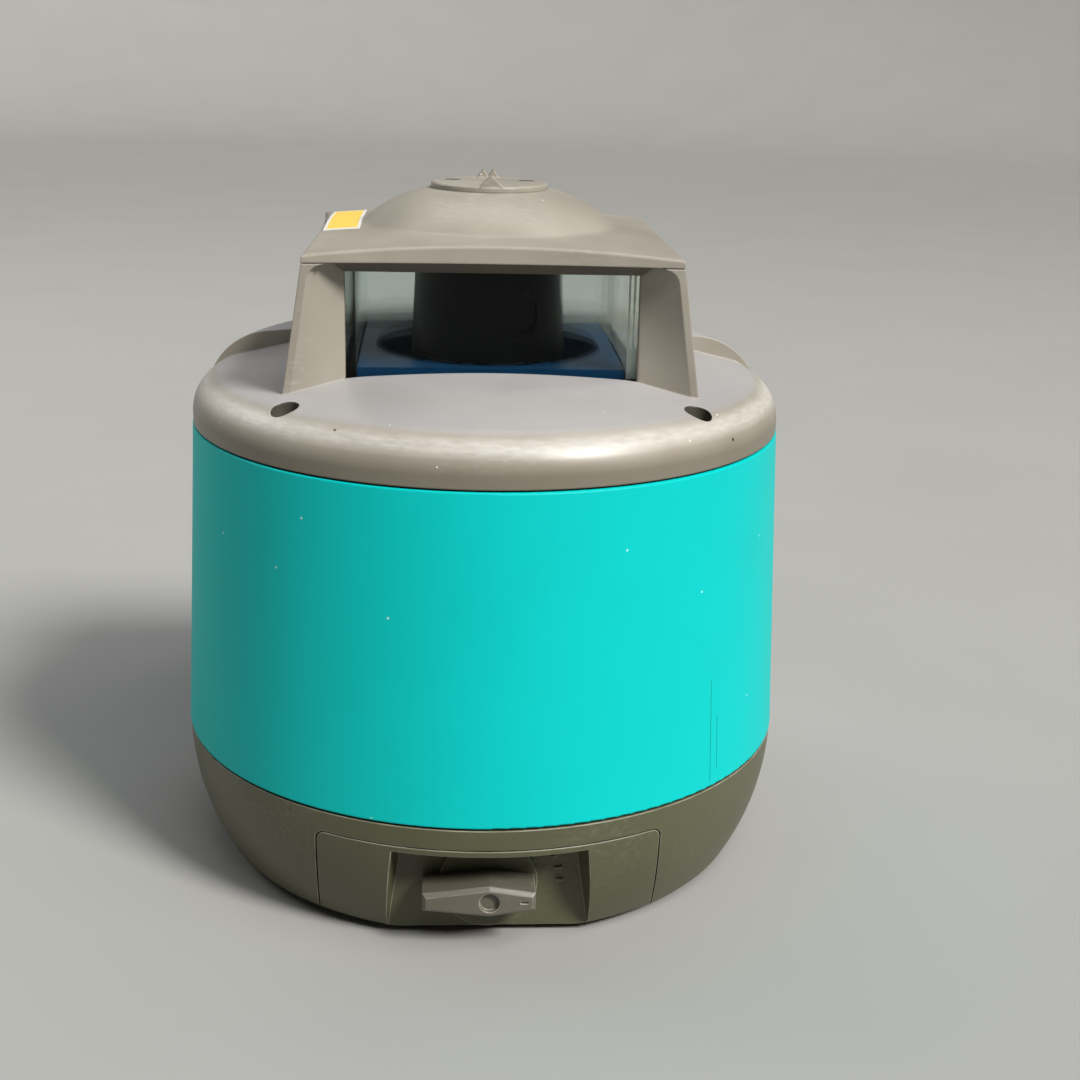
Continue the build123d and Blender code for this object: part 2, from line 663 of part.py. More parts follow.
def top_cover():
    """Brown shoulder with the raised console, the lantern pillars and the window opening."""
    outer = cover_form() + console()
    outer = outer - facet_cut()
    hollow = cover_form(WALL) + console(WALL)
    hollow = hollow - facet_cut(WALL)
    bosses = []
    for side_x, side_y in CORNERS:
        bosses.append(rod(BOSS_RADIUS, side_x * BOLT_X, side_y * BOLT_Y, COVER_BOTTOM, DECK) & outer)
    collar = square(FLANGE_HALF, FLANGE_TOP, DECK) & cover_form()
    peg_place = (PANE_HALF + ROOF_HALF) / 2 + PEG_RADIUS
    corner = pillar() + rod(PEG_RADIUS, peg_place, peg_place, SOFFIT - WALL, SOFFIT + PEG_HEIGHT)
    for across in (corner, mirror(corner, Plane.YZ)):
        outer = outer + across + mirror(across, Plane.XZ)
    cover = joined([outer - hollow, *bosses, collar, *board_bosses()])
    cover = cover - square(FLANGE_HALF + GLASS_GAP, FLANGE_TOP - 2 * FLANGE_THICK, FLANGE_TOP)
    cover = cover - square(PANE_HALF + GLASS_GAP, FLANGE_TOP - 1, SOFFIT)
    for side_x, side_y in CORNERS:
        cover = cover - bolt_well(side_x * BOLT_X, side_y * BOLT_Y)
    for cut in panel_cuts():
        cover = cover - cut
    return cover


def tie_bolts():
    """Four long bolts that clamp cover, band and base together."""
    bolts = []
    head_top = UPPER_SEAM + BOLT_SEAT
    head_bottom = head_top - BOLT_HEAD_HEIGHT
    for side_x, side_y in CORNERS:
        x = side_x * BOLT_X
        y = side_y * BOLT_Y
        socket = rod(BOLT_SHANK * 0.75, x, y, head_top - BOLT_HEAD_HEIGHT / 2, head_top + 1)
        bolt = rod(BOLT_HEAD, x, y, head_bottom, head_top) + rod(BOLT_SHANK, x, y, BOLT_TIP, head_top)
        bolts.append(bolt - socket)
    return group(bolts)


# Lantern

def lantern_base():
    """Black frame under the cover: a flange for the panes and a raised deck with a round hole."""
    deck_half = PANE_INNER - GLASS_GAP
    frame = square(FLANGE_HALF, FLANGE_TOP - FLANGE_THICK, FLANGE_TOP) + square(deck_half, FLANGE_TOP, DECK)
    return frame - rod(DECK_HOLE, 0, 0, FLANGE_TOP - 2 * FLANGE_THICK, DECK + 1)


def window_seal(z0, z1):
    """Square rubber ring at the end of the four panes."""
    return square(PANE_HALF, z0, z1) - square(PANE_INNER, z0 - 1, z1 + 1)


def window_pane(half_width):
    """Upright glass pane on the door side, of the given half width."""
    return block(-half_width, half_width, -PANE_HALF, -PANE_INNER, PANE_BOTTOM, PANE_TOP)


def roof_crown(radius):
    """Height of the crowned roof at a distance from the middle."""
    corner = ROOF_HALF * sqrt(2)
    rise = ROOF_CROWN - sqrt(ROOF_CROWN**2 - corner**2)
    return ROOF_CORNER_TOP + rise - (ROOF_CROWN - sqrt(ROOF_CROWN**2 - radius**2))


def roof_outline():
    """Square with slightly hollow edges."""
    half = ROOF_HALF
    mid = ROOF_HALF - ROOF_EDGE_DIP
    edges = [
        ThreePointArc((-half, -half), (0, -mid), (half, -half)),
        ThreePointArc((half, -half), (mid, 0), (half, half)),
        ThreePointArc((half, half), (0, mid), (-half, half)),
        ThreePointArc((-half, half), (-mid, 0), (-half, -half)),
    ]
    return make_face(edges)


def roof_form():
    """Crowned top of the roof and its dome, as one turned body."""
    seat = sight_bottom()
    reach = ROOF_HALF * sqrt(2) + 1
    half_way = (DOME_FOOT + reach) / 2
    start = (SIGHT_RADIUS, seat)
    flank = DOME_FOOT - SIGHT_RADIUS
    middle = (SIGHT_RADIUS + DOME_BULGE_OUT * flank, seat - (1 - DOME_BULGE_UP) * DOME_RISE)
    foot = (DOME_FOOT, roof_crown(DOME_FOOT))
    rim = (reach, roof_crown(reach))
    outline = [
        Line((0, SOFFIT), (0, seat)),
        Line((0, seat), start),
        ThreePointArc(start, middle, foot),
        ThreePointArc(foot, (half_way, roof_crown(half_way)), rim),
        Line(rim, (reach, SOFFIT)),
        Line((reach, SOFFIT), (0, SOFFIT)),
    ]
    face = make_face(outline)
    corner = face.vertices().sort_by_distance(foot)[0]
    return revolve(Plane.XZ * fillet(corner, DOME_BLEND), Axis.Z)


def roof_cap():
    """Brown roof of the lantern: crowned square, skirt down to the glass, dome."""
    plate = extrude(Pos(0, 0, SOFFIT) * roof_outline(), 2 * DOME_RISE) & roof_form()
    inside = ROOF_HALF - ROOF_EDGE_DIP - 1
    rims = plate.edges().filter_by(lambda edge: edge.center().Z > SOFFIT + ROOF_CORNER)
    rims = rims.filter_by(lambda edge: Vector(edge.center().X, edge.center().Y).length > inside)
    plate = fillet(rims, ROOF_ROUND)
    skirt_half = PANE_HALF + GLASS_GAP + PILLAR_LAP
    low = Pos(0, 0, SKIRT_BOTTOM) * Rectangle(2 * skirt_half, 2 * skirt_half)
    high_half = ROOF_HALF - ROOF_EDGE_DIP - SKIRT_LEDGE
    high = Pos(0, 0, SOFFIT) * Rectangle(2 * high_half, 2 * high_half)
    skirt = loft([low, high], ruled=True)
    roof = plate + skirt
    for side_x, side_y in CORNERS:
        notch = kite_clearance()
        if side_x < 0:
            notch = mirror(notch, Plane.YZ)
        if side_y < 0:
            notch = mirror(notch, Plane.XZ)
        roof = roof - notch
    groove = square(PANE_HALF + GLASS_GAP, SKIRT_BOTTOM - 1, SOFFIT)
    groove = groove - square(PANE_INNER - GLASS_GAP, SKIRT_BOTTOM - 2, SOFFIT + 1)
    well_radius = DOME_FOOT - 2 * DOME_SHELL
    well_top = sight_bottom() - 2 * DOME_SHELL
    low = SKIRT_BOTTOM - 1
    well = turned([(0, low), (well_radius, low), (well_radius, roof_crown(well_radius) - DOME_SHELL),
                   (SIGHT_RADIUS, well_top), (0, well_top)])
    ceiling = square(PANE_INNER - GLASS_GAP - SKIRT_WALL, low, SOFFIT)
    roof = roof - groove - well - ceiling
    for side in (-1, 1):
        x = side * SIGHT_SCREW_X
        roof = roof - rod(SIGHT_SCREW_SHANK + PIN_RUN, x, SIGHT_SCREW_Y, well_top, sight_bottom() + 1)
    return roof


def kite_clearance():
    """Room in the roof skirt for the head of a pillar and its peg."""
    glass = PANE_HALF + GLASS_GAP
    reach = ROOF_HALF + 1
    lap = PANE_HALF - PILLAR_LAP - GLASS_GAP
    corners = [(reach, reach), (ROOF_HALF - PILLAR_RIM - PILLAR_HEAD, reach), (lap, glass - GLASS_GAP),
               (glass - GLASS_GAP, lap), (reach, ROOF_HALF - PILLAR_RIM - PILLAR_HEAD)]
    wedge = extrude(level_face(corners, SKIRT_BOTTOM - 1), ROOF_SKIRT + 1)
    peg_place = (PANE_HALF + ROOF_HALF) / 2 + PEG_RADIUS
    peg_top = SOFFIT + PEG_HEIGHT + FIT_GAP
    return wedge + rod(PEG_RADIUS + FIT_GAP, peg_place, peg_place, SKIRT_BOTTOM, peg_top)


def sight_bottom():
    """Seat of the sight disc on the dome."""
    return roof_crown(DOME_FOOT) + DOME_RISE


def peak(width, height, x, y, depth):
    """Triangular sighting peak with its ridge along Y, from y towards the middle by a depth."""
    z = sight_bottom() + SIGHT_THICK
    low = z - SIGHT_THICK / 2
    left = x - width / 2
    right = x + width / 2
    corners = [(left, low), (left, z), (x, z + height), (right, z), (right, low)]
    face = Plane((0, y, 0), x_dir=(1, 0, 0), z_dir=(0, -1, 0)) * make_face(Polyline(*corners, close=True))
    return extrude(face, depth)


def sight_disc():
    """Round cap with a front sight peak and a rear pair that forms a notch."""
    bottom = sight_bottom()
    disc = rod(SIGHT_RADIUS, 0, 0, bottom, bottom + SIGHT_THICK)
    disc = chamfer(disc.edges().group_by(Axis.Z)[-1], SIGHT_THICK / 4)
    rim = sqrt(SIGHT_RADIUS**2 - (PEAK_WIDTH / 2) ** 2)
    disc = disc + peak(PEAK_WIDTH, PEAK_HEIGHT, 0, -rim + PEAK_DEPTH, PEAK_DEPTH)
    for side in (-1, 1):
        disc = disc + peak(NOTCH_WIDTH, NOTCH_HEIGHT, side * NOTCH_PITCH / 2, rim, PEAK_DEPTH)
        x = side * SIGHT_SCREW_X
        top = bottom + 2 * SIGHT_THICK
        disc = disc - rod(SIGHT_SCREW_HEAD + FIT_GAP, x, SIGHT_SCREW_Y, bottom + SIGHT_THICK / 2, top)
        disc = disc - rod(SIGHT_SCREW_SHANK + PIN_RUN, x, SIGHT_SCREW_Y, bottom - 1, top)
    return disc


def sight_screws():
    """Two small bright screws that hold the sight disc."""
    bottom = sight_bottom()
    screws = []
    for side in (-1, 1):
        x = side * SIGHT_SCREW_X
        head_top = bottom + SIGHT_THICK
        head = rod(SIGHT_SCREW_HEAD, x, SIGHT_SCREW_Y, bottom + SIGHT_THICK / 2, head_top)
        low = SIGHT_SCREW_Y - SIGHT_SCREW_SLOT / 2
        slot = block(x - SIGHT_SCREW_HEAD, x + SIGHT_SCREW_HEAD, low, low + SIGHT_SCREW_SLOT,
                     head_top - SIGHT_THICK / 4, head_top + 1)
        shank = rod(SIGHT_SCREW_SHANK, x, SIGHT_SCREW_Y, bottom - DOME_SHELL / 2, bottom + SIGHT_THICK / 2)
        screws.append(head - slot + shank)
    return group(screws)


# Operator panel

def control_panel():
    """Dark plate in the facet, with holes for three buttons and three lenses."""
    outline = RectangleRounded(PANEL_WIDTH, PANEL_DEPTH, PANEL_CORNER)
    plate = extrude(panel_plane(PANEL_SINK) * outline, PANEL_THICK)
    for place in (-1, 0, 1):
        hole = Pos(place * BUTTON_PITCH, -BUTTON_LOW) * Circle(BUTTON_RADIUS + BUTTON_GAP)
        lens = Pos(place * BUTTON_PITCH, LENS_HIGH) * Circle(LENS_RADIUS + FIT_GAP)
        plate = plate - extrude(panel_plane(WALL) * hole, 2 * WALL)
        plate = plate - extrude(panel_plane(WALL) * lens, 2 * WALL)
    return plate


def panel_button(place):
    """Round sprung button with a lip that keeps it behind the cover."""
    centre = Pos(place * BUTTON_PITCH, -BUTTON_LOW)
    lip_top = WALL + BUTTON_GAP
    lip_bottom = lip_top + BUTTON_LIP_THICK
    proud = PANEL_THICK - PANEL_SINK + BUTTON_PROUD
    stem = extrude(panel_plane(lip_bottom) * centre * Circle(BUTTON_RADIUS), lip_bottom + proud)
    stem = chamfer(stem.faces().sort_by(Axis.Y)[-1].edges(), BUTTON_GAP)
    lip = centre * Circle(BUTTON_RADIUS + BUTTON_LIP)
    return stem + extrude(panel_plane(lip_bottom) * lip, BUTTON_LIP_THICK)


def indicator_lenses():
    """Three small light pipes over the panel board's lamps."""
    length = panel_board_depth() + PANEL_THICK - PANEL_SINK
    lenses = []
    for place in (-1, 0, 1):
        lens = Pos(place * BUTTON_PITCH, LENS_HIGH) * Circle(LENS_RADIUS)
        lenses.append(extrude(panel_plane(panel_board_depth()) * lens, length + FIT_GAP))
    return group(lenses)


def panel_board():
    """Circuit board behind the facet, with a dome switch under each button."""
    depth = panel_board_depth()
    outline = Rectangle(PANEL_BOARD_WIDTH, PANEL_BOARD_DEPTH)
    board = extrude(panel_plane(depth + BOARD_THICK) * outline, BOARD_THICK)
    for place in (-1, 0, 1):
        dome = Pos(place * BUTTON_PITCH, -BUTTON_LOW) * Circle(SWITCH_RADIUS)
        board = board + extrude(panel_plane(depth) * dome, BUTTON_GAP / 2)
    return board


# Chassis

def chassis_plate():
    """Round aluminium plate on the base posts, with two slotted feet for the main board."""
    low = CHASSIS_Z - 1
    high = CHASSIS_TOP + 1
    plate = rod(CHASSIS_RADIUS, 0, 0, CHASSIS_Z, CHASSIS_TOP) - rod(CHASSIS_BORE, 0, 0, low, high)
    slot_half = BOARD_THICK / 2 + FIT_GAP
    slot_bottom = CHASSIS_TOP + BOARD_FOOT / 2
    for side in (-1, 1):
        x = side * BOARD_FOOT_X
        foot = block(x - BOARD_FOOT, x + BOARD_FOOT, -BOARD_Y - BOARD_FOOT, -BOARD_Y + BOARD_FOOT,
                     CHASSIS_TOP - 1, CHASSIS_TOP + 2 * BOARD_FOOT)
        slot = block(x - 2 * BOARD_FOOT, x + 2 * BOARD_FOOT, -BOARD_Y - slot_half, -BOARD_Y + slot_half,
                     slot_bottom, slot_bottom + 3 * BOARD_FOOT)
        plate = plate + (foot - slot)
    for side_x, side_y in CORNERS:
        plate = plate - rod(SCREW_SHANK + FIT_GAP, side_x * POST_X, side_y * POST_Y, low, high)
    return plate


def carrier_place():
    """Distance along X and Y of the carrier posts."""
    return (CARRIER_INNER + CARRIER_OUTER) / 2 * sqrt(0.5)


def chassis_screws():
    """Four screws through the chassis plate and four through the gimbal carrier."""
    screws = []
    for side_x, side_y in CORNERS:
        carrier = carrier_place()
        for x, y, top in [(POST_X, POST_Y, CHASSIS_TOP), (carrier, carrier, GIMBAL_Z + RING_HEIGHT / 2)]:
            head = rod(SCREW_HEAD, side_x * x, side_y * y, top, top + SCREW_HEAD_HEIGHT)
            screws.append(head + rod(SCREW_SHANK, side_x * x, side_y * y, top - SCREW_LENGTH, top))
    return group(screws)


def carrier_posts():
    """Four upright posts between the chassis plate and the gimbal carrier."""
    posts = []
    top = GIMBAL_Z - RING_HEIGHT / 2
    for side_x, side_y in CORNERS:
        x = side_x * carrier_place()
        y = side_y * carrier_place()
        screw_hole = rod(SCREW_SHANK + FIT_GAP, x, y, top - SCREW_LENGTH, top + 1)
        posts.append(rod(CARRIER_POST, x, y, CHASSIS_TOP, top) - screw_hole)
    return group(posts)


def flat_ring(inner, outer):
    """Level ring at the height of the gimbal."""
    z0 = GIMBAL_Z - RING_HEIGHT / 2
    z1 = GIMBAL_Z + RING_HEIGHT / 2
    return rod(outer, 0, 0, z0, z1) - rod(inner, 0, 0, z0 - 1, z1 + 1)


def gimbal_carrier():
    """Fixed ring that holds the outer pivot pins."""
    ring = flat_ring(CARRIER_INNER, CARRIER_OUTER)
    ring = ring - rod_x(PIN_RADIUS + PIN_PRESS, -2 * CARRIER_OUTER, 2 * CARRIER_OUTER, 0, GIMBAL_Z)
    place = carrier_place()
    top = GIMBAL_Z + RING_HEIGHT
    for side_x, side_y in CORNERS:
        ring = ring - rod(SCREW_SHANK + FIT_GAP, side_x * place, side_y * place, CHASSIS_TOP, top)
    return ring


def gimbal_ring():
    """Ring that tilts about X in the carrier and carries the laser tube about Y."""
    ring = flat_ring(RING_INNER, RING_OUTER)
    ring = ring - rod_x(PIN_RADIUS + PIN_RUN, -2 * RING_OUTER, 2 * RING_OUTER, 0, GIMBAL_Z)
    return ring - rod_y(PIN_RADIUS + PIN_PRESS, 0, -2 * RING_OUTER, 2 * RING_OUTER, GIMBAL_Z)


def outer_pivot_pins():
    """Two pins along X, pressed into the carrier."""
    pin = rod_x(PIN_RADIUS, RING_INNER + PIN_INSET, CARRIER_OUTER - PIN_INSET, 0, GIMBAL_Z)
    return group([pin, mirror(pin, Plane.YZ)])


def inner_pivot_pins():
    """Two pins along Y, pressed into the gimbal ring."""
    pin = rod_y(PIN_RADIUS, 0, HUB_RADIUS - PIN_IN_HUB, RING_OUTER - PIN_INSET, GIMBAL_Z)
    return group([pin, mirror(pin, Plane.XZ)])


def main_board():
    """Upright circuit board in the chassis feet, with its larger components."""
    bottom = CHASSIS_TOP + BOARD_FOOT / 2 + FIT_GAP
    half = BOARD_THICK / 2
    board = block(-BOARD_HALF, BOARD_HALF, -BOARD_Y - half, -BOARD_Y + half, bottom, bottom + BOARD_HEIGHT)
    face = -BOARD_Y - half
    for x, z, half_x, half_z in CHIPS:
        middle = bottom + z
        chip = block(x - half_x, x + half_x, face - CHIP_HEIGHT, -BOARD_Y, middle - half_z, middle + half_z)
        board = board + chip
    return board


# Laser tube

def laser_tube():
    """Tilting tube: barrel, pivot hub, bearing housing, motor bracket, vial saddles and two drive arms."""
    hub_low = GIMBAL_Z - HUB_HEIGHT / 2
    hub_high = GIMBAL_Z + HUB_HEIGHT / 2
    tube = rod(TUBE_OUTER, 0, 0, TUBE_BOTTOM, hub_low + 1) + rod(HUB_RADIUS, 0, 0, hub_low, hub_high)
    tube = tube + rod(HOUSING_RADIUS, 0, 0, hub_low, HOUSING_TOP)
    bracket_z = HOUSING_TOP - BRACKET_THICK
    bracket = block(0, MOTOR_OFFSET + MOTOR_RADIUS, -MOTOR_RADIUS, MOTOR_RADIUS, bracket_z, HOUSING_TOP)
    tube = tube + Rot(0, 0, MOTOR_ANGLE) * bracket
    arm = drive_arm()
    tube = tube + arm + Rot(0, 0, -90) * arm
    saddle = block(-VIAL_SADDLE, VIAL_SADDLE, -TUBE_OUTER - FIT_GAP, -TUBE_INNER,
                   VIAL_Z - VIAL_RADIUS, VIAL_Z + VIAL_RADIUS)
    tube = tube + saddle + Rot(0, 0, -90) * saddle
    tube = tube - rod(TUBE_INNER, 0, 0, TUBE_BOTTOM - 1, LENS_Z + LENS_THICK / 2)
    tube = tube - rod(LENS_SEAT_RADIUS, 0, 0, TUBE_BOTTOM, HOUSING_TOP + 1)
    tube = tube - rod(BEARING_SHOULDER, 0, 0, BEARING_LOW, HOUSING_TOP + 1)
    tube = tube - rod(BEARING_OUTER + FIT_GAP, 0, 0, BEARING_LOW, BEARING_LOW + BEARING_WIDTH)
    tube = tube - rod(BEARING_OUTER + FIT_GAP, 0, 0, BEARING_HIGH, HOUSING_TOP + 1)
    pin_end = HUB_RADIUS - PIN_IN_HUB - PIN_INSET
    tube = tube - rod_y(PIN_RADIUS + PIN_RUN, 0, -2 * HUB_RADIUS, -pin_end, GIMBAL_Z)
    tube = tube - rod_y(PIN_RADIUS + PIN_RUN, 0, pin_end, 2 * HUB_RADIUS, GIMBAL_Z)
    motor_x, motor_y = motor_place()
    return tube - rod(2 * MOTOR_SHAFT, motor_x, motor_y, bracket_z - 1, HOUSING_TOP + 1)


def drive_arm():
    """Arm along +Y with a jaw round the ball of a levelling nut."""
    jaw_start = ARM_REACH - JAW_LENGTH / 2
    jaw_end = ARM_REACH + JAW_LENGTH / 2
    half_width = ARM_WIDTH / 2
    slot_half = BALL_RADIUS + BALL_PLAY
    jaw_half = slot_half + JAW_WALL
    bar_half = ARM_THICK / 2
    bar = block(-half_width, half_width, TUBE_INNER + 1, jaw_start + 1, ARM_Z - bar_half, ARM_Z + bar_half)
    jaw = block(-half_width, half_width, jaw_start, jaw_end, ARM_Z - jaw_half, ARM_Z + jaw_half)
    slot_back = jaw_start + JAW_BACK
    slot = block(-ARM_WIDTH, ARM_WIDTH, slot_back, 2 * jaw_end, ARM_Z - slot_half, ARM_Z + slot_half)
    return bar + (jaw - slot)


def motor_place():
    """Axis of the spin motor."""
    angle = radians(MOTOR_ANGLE)
    return MOTOR_OFFSET * cos(angle), MOTOR_OFFSET * sin(angle)


def laser_module():
    """Diode holder with a heat sink flange, in the lower end of the tube."""
    flange = rod(TUBE_OUTER, 0, 0, TUBE_BOTTOM - MODULE_FLANGE, TUBE_BOTTOM)
    return flange + rod(TUBE_INNER - PIN_RUN, 0, 0, TUBE_BOTTOM - 1, TUBE_BOTTOM + MODULE_INSIDE)


def collimating_lens():
    """Thick lens against the shoulder inside the tube."""
    radius = TUBE_INNER - PIN_RUN
    top = LENS_Z + LENS_THICK / 2
    bottom = LENS_Z - LENS_THICK / 2

    def bow(distance):
        return (distance, bottom + LENS_CURVE - sqrt(LENS_CURVE**2 - distance**2))

    outline = [
        Line((0, top), (radius, top)),
        Line((radius, top), bow(radius)),
        ThreePointArc(bow(radius), bow(radius / 2), bow(0)),
        Line(bow(0), (0, top)),
    ]
    return revolve(Plane.XZ * make_face(outline), Axis.Z)


def level_vials():
    """Two glass vials that sense the tilt, square to each other."""
    place = TUBE_OUTER + 2 * FIT_GAP + VIAL_RADIUS
    vial = rod_x(VIAL_RADIUS, -VIAL_LENGTH / 2, VIAL_LENGTH / 2, -place, VIAL_Z)
    return group([vial, Rot(0, 0, -90) * vial])


def spindle_bearings():
    """Two ball bearings in the housing, each drawn as one ring."""
    bearings = []
    for z in (BEARING_LOW, BEARING_HIGH):
        ring = rod(BEARING_OUTER, 0, 0, z, z + BEARING_WIDTH)
        bearings.append(ring - rod(SPINDLE_RADIUS + PIN_RUN, 0, 0, z - 1, z + BEARING_WIDTH + 1))
    return group(bearings)


def spin_motor():
    """Small motor under the bracket."""
    x, y = motor_place()
    top = HOUSING_TOP - BRACKET_THICK
    body = rod(MOTOR_RADIUS, x, y, top - MOTOR_LENGTH, top)
    return body - rod(MOTOR_SHAFT + PIN_RUN, x, y, top - MOTOR_LENGTH / 2, top + 1)


def grooved_wheel(groove, x, y):
    """Pulley with a lip on each side of its groove."""
    z0 = PULLEY_Z
    z1 = PULLEY_Z + PULLEY_WIDTH
    wheel = rod(groove, x, y, z0, z1)
    wheel = wheel + rod(groove + PULLEY_LIP, x, y, z0, z0 + PULLEY_LIP_WIDTH)
    return wheel + rod(groove + PULLEY_LIP, x, y, z1 - PULLEY_LIP_WIDTH, z1)


def motor_pulley():
    """Small pulley with the motor shaft."""
    x, y = motor_place()
    shaft_bottom = HOUSING_TOP - BRACKET_THICK - MOTOR_LENGTH / 2 + PIN_RUN
    return grooved_wheel(MOTOR_GROOVE, x, y) + rod(MOTOR_SHAFT, x, y, shaft_bottom, PULLEY_Z + PULLEY_WIDTH)


def belt_loop(swell):
    """Face inside an open belt round both pulleys, swollen by a distance."""
    x, y = motor_place()
    circles = [Circle(PULLEY_GROOVE + swell), Pos(x, y) * Circle(MOTOR_GROOVE + swell)]
    return make_hull([edge for circle in circles for edge in circle.edges()])


def drive_belt():
    """Flat belt from the motor pulley to the spindle pulley."""
    z0 = PULLEY_Z + PULLEY_LIP_WIDTH + BELT_SIDE_GAP
    width = PULLEY_WIDTH - 2 * (PULLEY_LIP_WIDTH + BELT_SIDE_GAP)
    loop = belt_loop(BELT_GAP + BELT_THICK) - belt_loop(BELT_GAP)
    return extrude(Pos(0, 0, z0) * loop, width)


# Turret

def spindle():
    """Hollow shaft with the driven pulley and the flange that carries the turret."""
    shaft = rod(SPINDLE_RADIUS, 0, 0, SPINDLE_BOTTOM, TURRET_BOTTOM)
    shaft = shaft + grooved_wheel(PULLEY_GROOVE, 0, 0)
    shaft = shaft + rod(TURRET_RADIUS - TURRET_WALL, 0, 0, TURRET_BOTTOM - TURRET_WALL, TURRET_BOTTOM)
    return shaft - rod(SPINDLE_BORE, 0, 0, SPINDLE_BOTTOM - 1, TURRET_BOTTOM + 1)


def turret_shell():
    """Dark round turret with a prism seat, two cheeks and the beam opening."""
    foot = TURRET_RADIUS + TURRET_FLARE
    corners = [(0, TURRET_BOTTOM), (foot, TURRET_BOTTOM), (TURRET_RADIUS, TURRET_TOP), (0, TURRET_TOP)]
    outer = turned(corners, [0, 0, TURRET_WALL / 2, 0])
    hollow = rod(TURRET_RADIUS - TURRET_WALL, 0, 0, PRISM_FLOOR, TURRET_TOP - TURRET_WALL / 2)
    shell = outer - hollow - rod(SPINDLE_BORE, 0, 0, TURRET_BOTTOM - 1, PRISM_FLOOR + 1)
    half = PRISM_SIDE / 2 + PRISM_GAP
    for side in (-1, 1):
        edges = sorted((side * half, side * (half + CHEEK)))
        cheek = block(*edges, -PRISM_SIDE / 2, PRISM_SIDE / 2, PRISM_FLOOR - 1, PRISM_FLOOR + PRISM_SIDE)
        shell = shell + Rot(0, 0, APERTURE_AIM) * cheek
    opening = rod_y(APERTURE_RADIUS, 0, -2 * TURRET_RADIUS, -PRISM_SIDE / 2 - PRISM_GAP, BEAM_Z)
    return shell - Rot(0, 0, APERTURE_AIM) * opening


def pentaprism():
    """Five-sided glass prism that turns the upright beam level."""
    side = PRISM_SIDE
    start = -side / 2
    corners = [(0, 0), (side, 0), (side * sqrt(2), side), (side, side * sqrt(2)), (0, side)]
    points = [(start + u, PRISM_FLOOR + PRISM_GAP + w) for u, w in corners]
    upright = Plane((-side / 2, 0, 0), x_dir=(0, 1, 0), z_dir=(1, 0, 0))
    prism = extrude(upright * make_face(Polyline(*points, close=True)), side)
    return Rot(0, 0, APERTURE_AIM) * prism


def aperture_lens():
    """Coated round window in the beam opening."""
    front = sqrt(TURRET_RADIUS**2 - APERTURE_RADIUS**2) - FIT_GAP
    lens = rod_y(APERTURE_RADIUS - PIN_RUN, 0, -front, -front + APERTURE_LENS, BEAM_Z)
    return Rot(0, 0, APERTURE_AIM) * lens


# Levelling drives, drawn on +Y for pitch and turned to +X for roll

def level_motor():
    """Geared motor with a face plate and the guide rod of its nut."""
    top = CHASSIS_TOP + DRIVE_MOTOR_HEIGHT
    plate_half = DRIVE_MOTOR + 1
    motor = rod(DRIVE_MOTOR, 0, DRIVE_REACH, CHASSIS_TOP, top)
    plate_end = GUIDE_OFFSET + 2 * GUIDE_RADIUS
    motor = motor + block(-plate_half, plate_end, DRIVE_REACH - plate_half, DRIVE_REACH + plate_half,
                          top - DRIVE_PLATE, top)
    motor = motor + rod(GUIDE_RADIUS, GUIDE_OFFSET, DRIVE_REACH, top - DRIVE_PLATE, DRIVE_TOP)
    return motor - rod(DRIVE_SCREW + DRIVE_RUN, 0, DRIVE_REACH, top - 3 * DRIVE_PLATE, top + 1)


def level_screw():
    """Lead screw on the levelling motor."""
    bottom = CHASSIS_TOP + DRIVE_MOTOR_HEIGHT - 3 * DRIVE_PLATE + DRIVE_RUN
    return rod(DRIVE_SCREW, 0, DRIVE_REACH, bottom, DRIVE_TOP)


def level_nut():
    """Travelling nut with a ball-ended finger in the jaw of the drive arm."""
    front = DRIVE_REACH - NUT_DEPTH / 2
    side = GUIDE_OFFSET + GUIDE_RADIUS + TURRET_WALL
    nut = block(-NUT_HALF, side, front, front + NUT_DEPTH, ARM_Z - NUT_HEIGHT / 2, ARM_Z + NUT_HEIGHT / 2)
    low = ARM_Z - NUT_HEIGHT
    high = ARM_Z + NUT_HEIGHT
    nut = nut - rod(DRIVE_SCREW + DRIVE_RUN, 0, DRIVE_REACH, low, high)
    nut = nut - rod(GUIDE_RADIUS + GUIDE_RUN, GUIDE_OFFSET, DRIVE_REACH, low, high)
    finger = rod_y(FINGER_RADIUS, 0, ARM_REACH, front + 1, ARM_Z)
    return nut + finger + Pos(0, ARM_REACH, ARM_Z) * Sphere(BALL_RADIUS)


# Battery drawer

def recess_form(swell=0.0, back=0.0):
    """Trapezium recess of the door, open downwards, or the pocket round it."""
    top = DOOR_TOP - RECESS_DROP + swell
    outside = LOWER_RADIUS + WALL
    depth = RECESS_DEPTH - back

    def outline(distance, splay):
        foot = RECESS_FOOT_HALF + swell + splay
        head = RECESS_TOP_HALF + swell + splay
        return front_face([(-foot, -WALL), (foot, -WALL), (head, top), (-head, top)], distance)

    spread = RECESS_SPLAY * (outside - depth) / (LOWER_RADIUS - RECESS_DEPTH)
    return loft([outline(depth, 0), outline(outside, spread)], ruled=True)


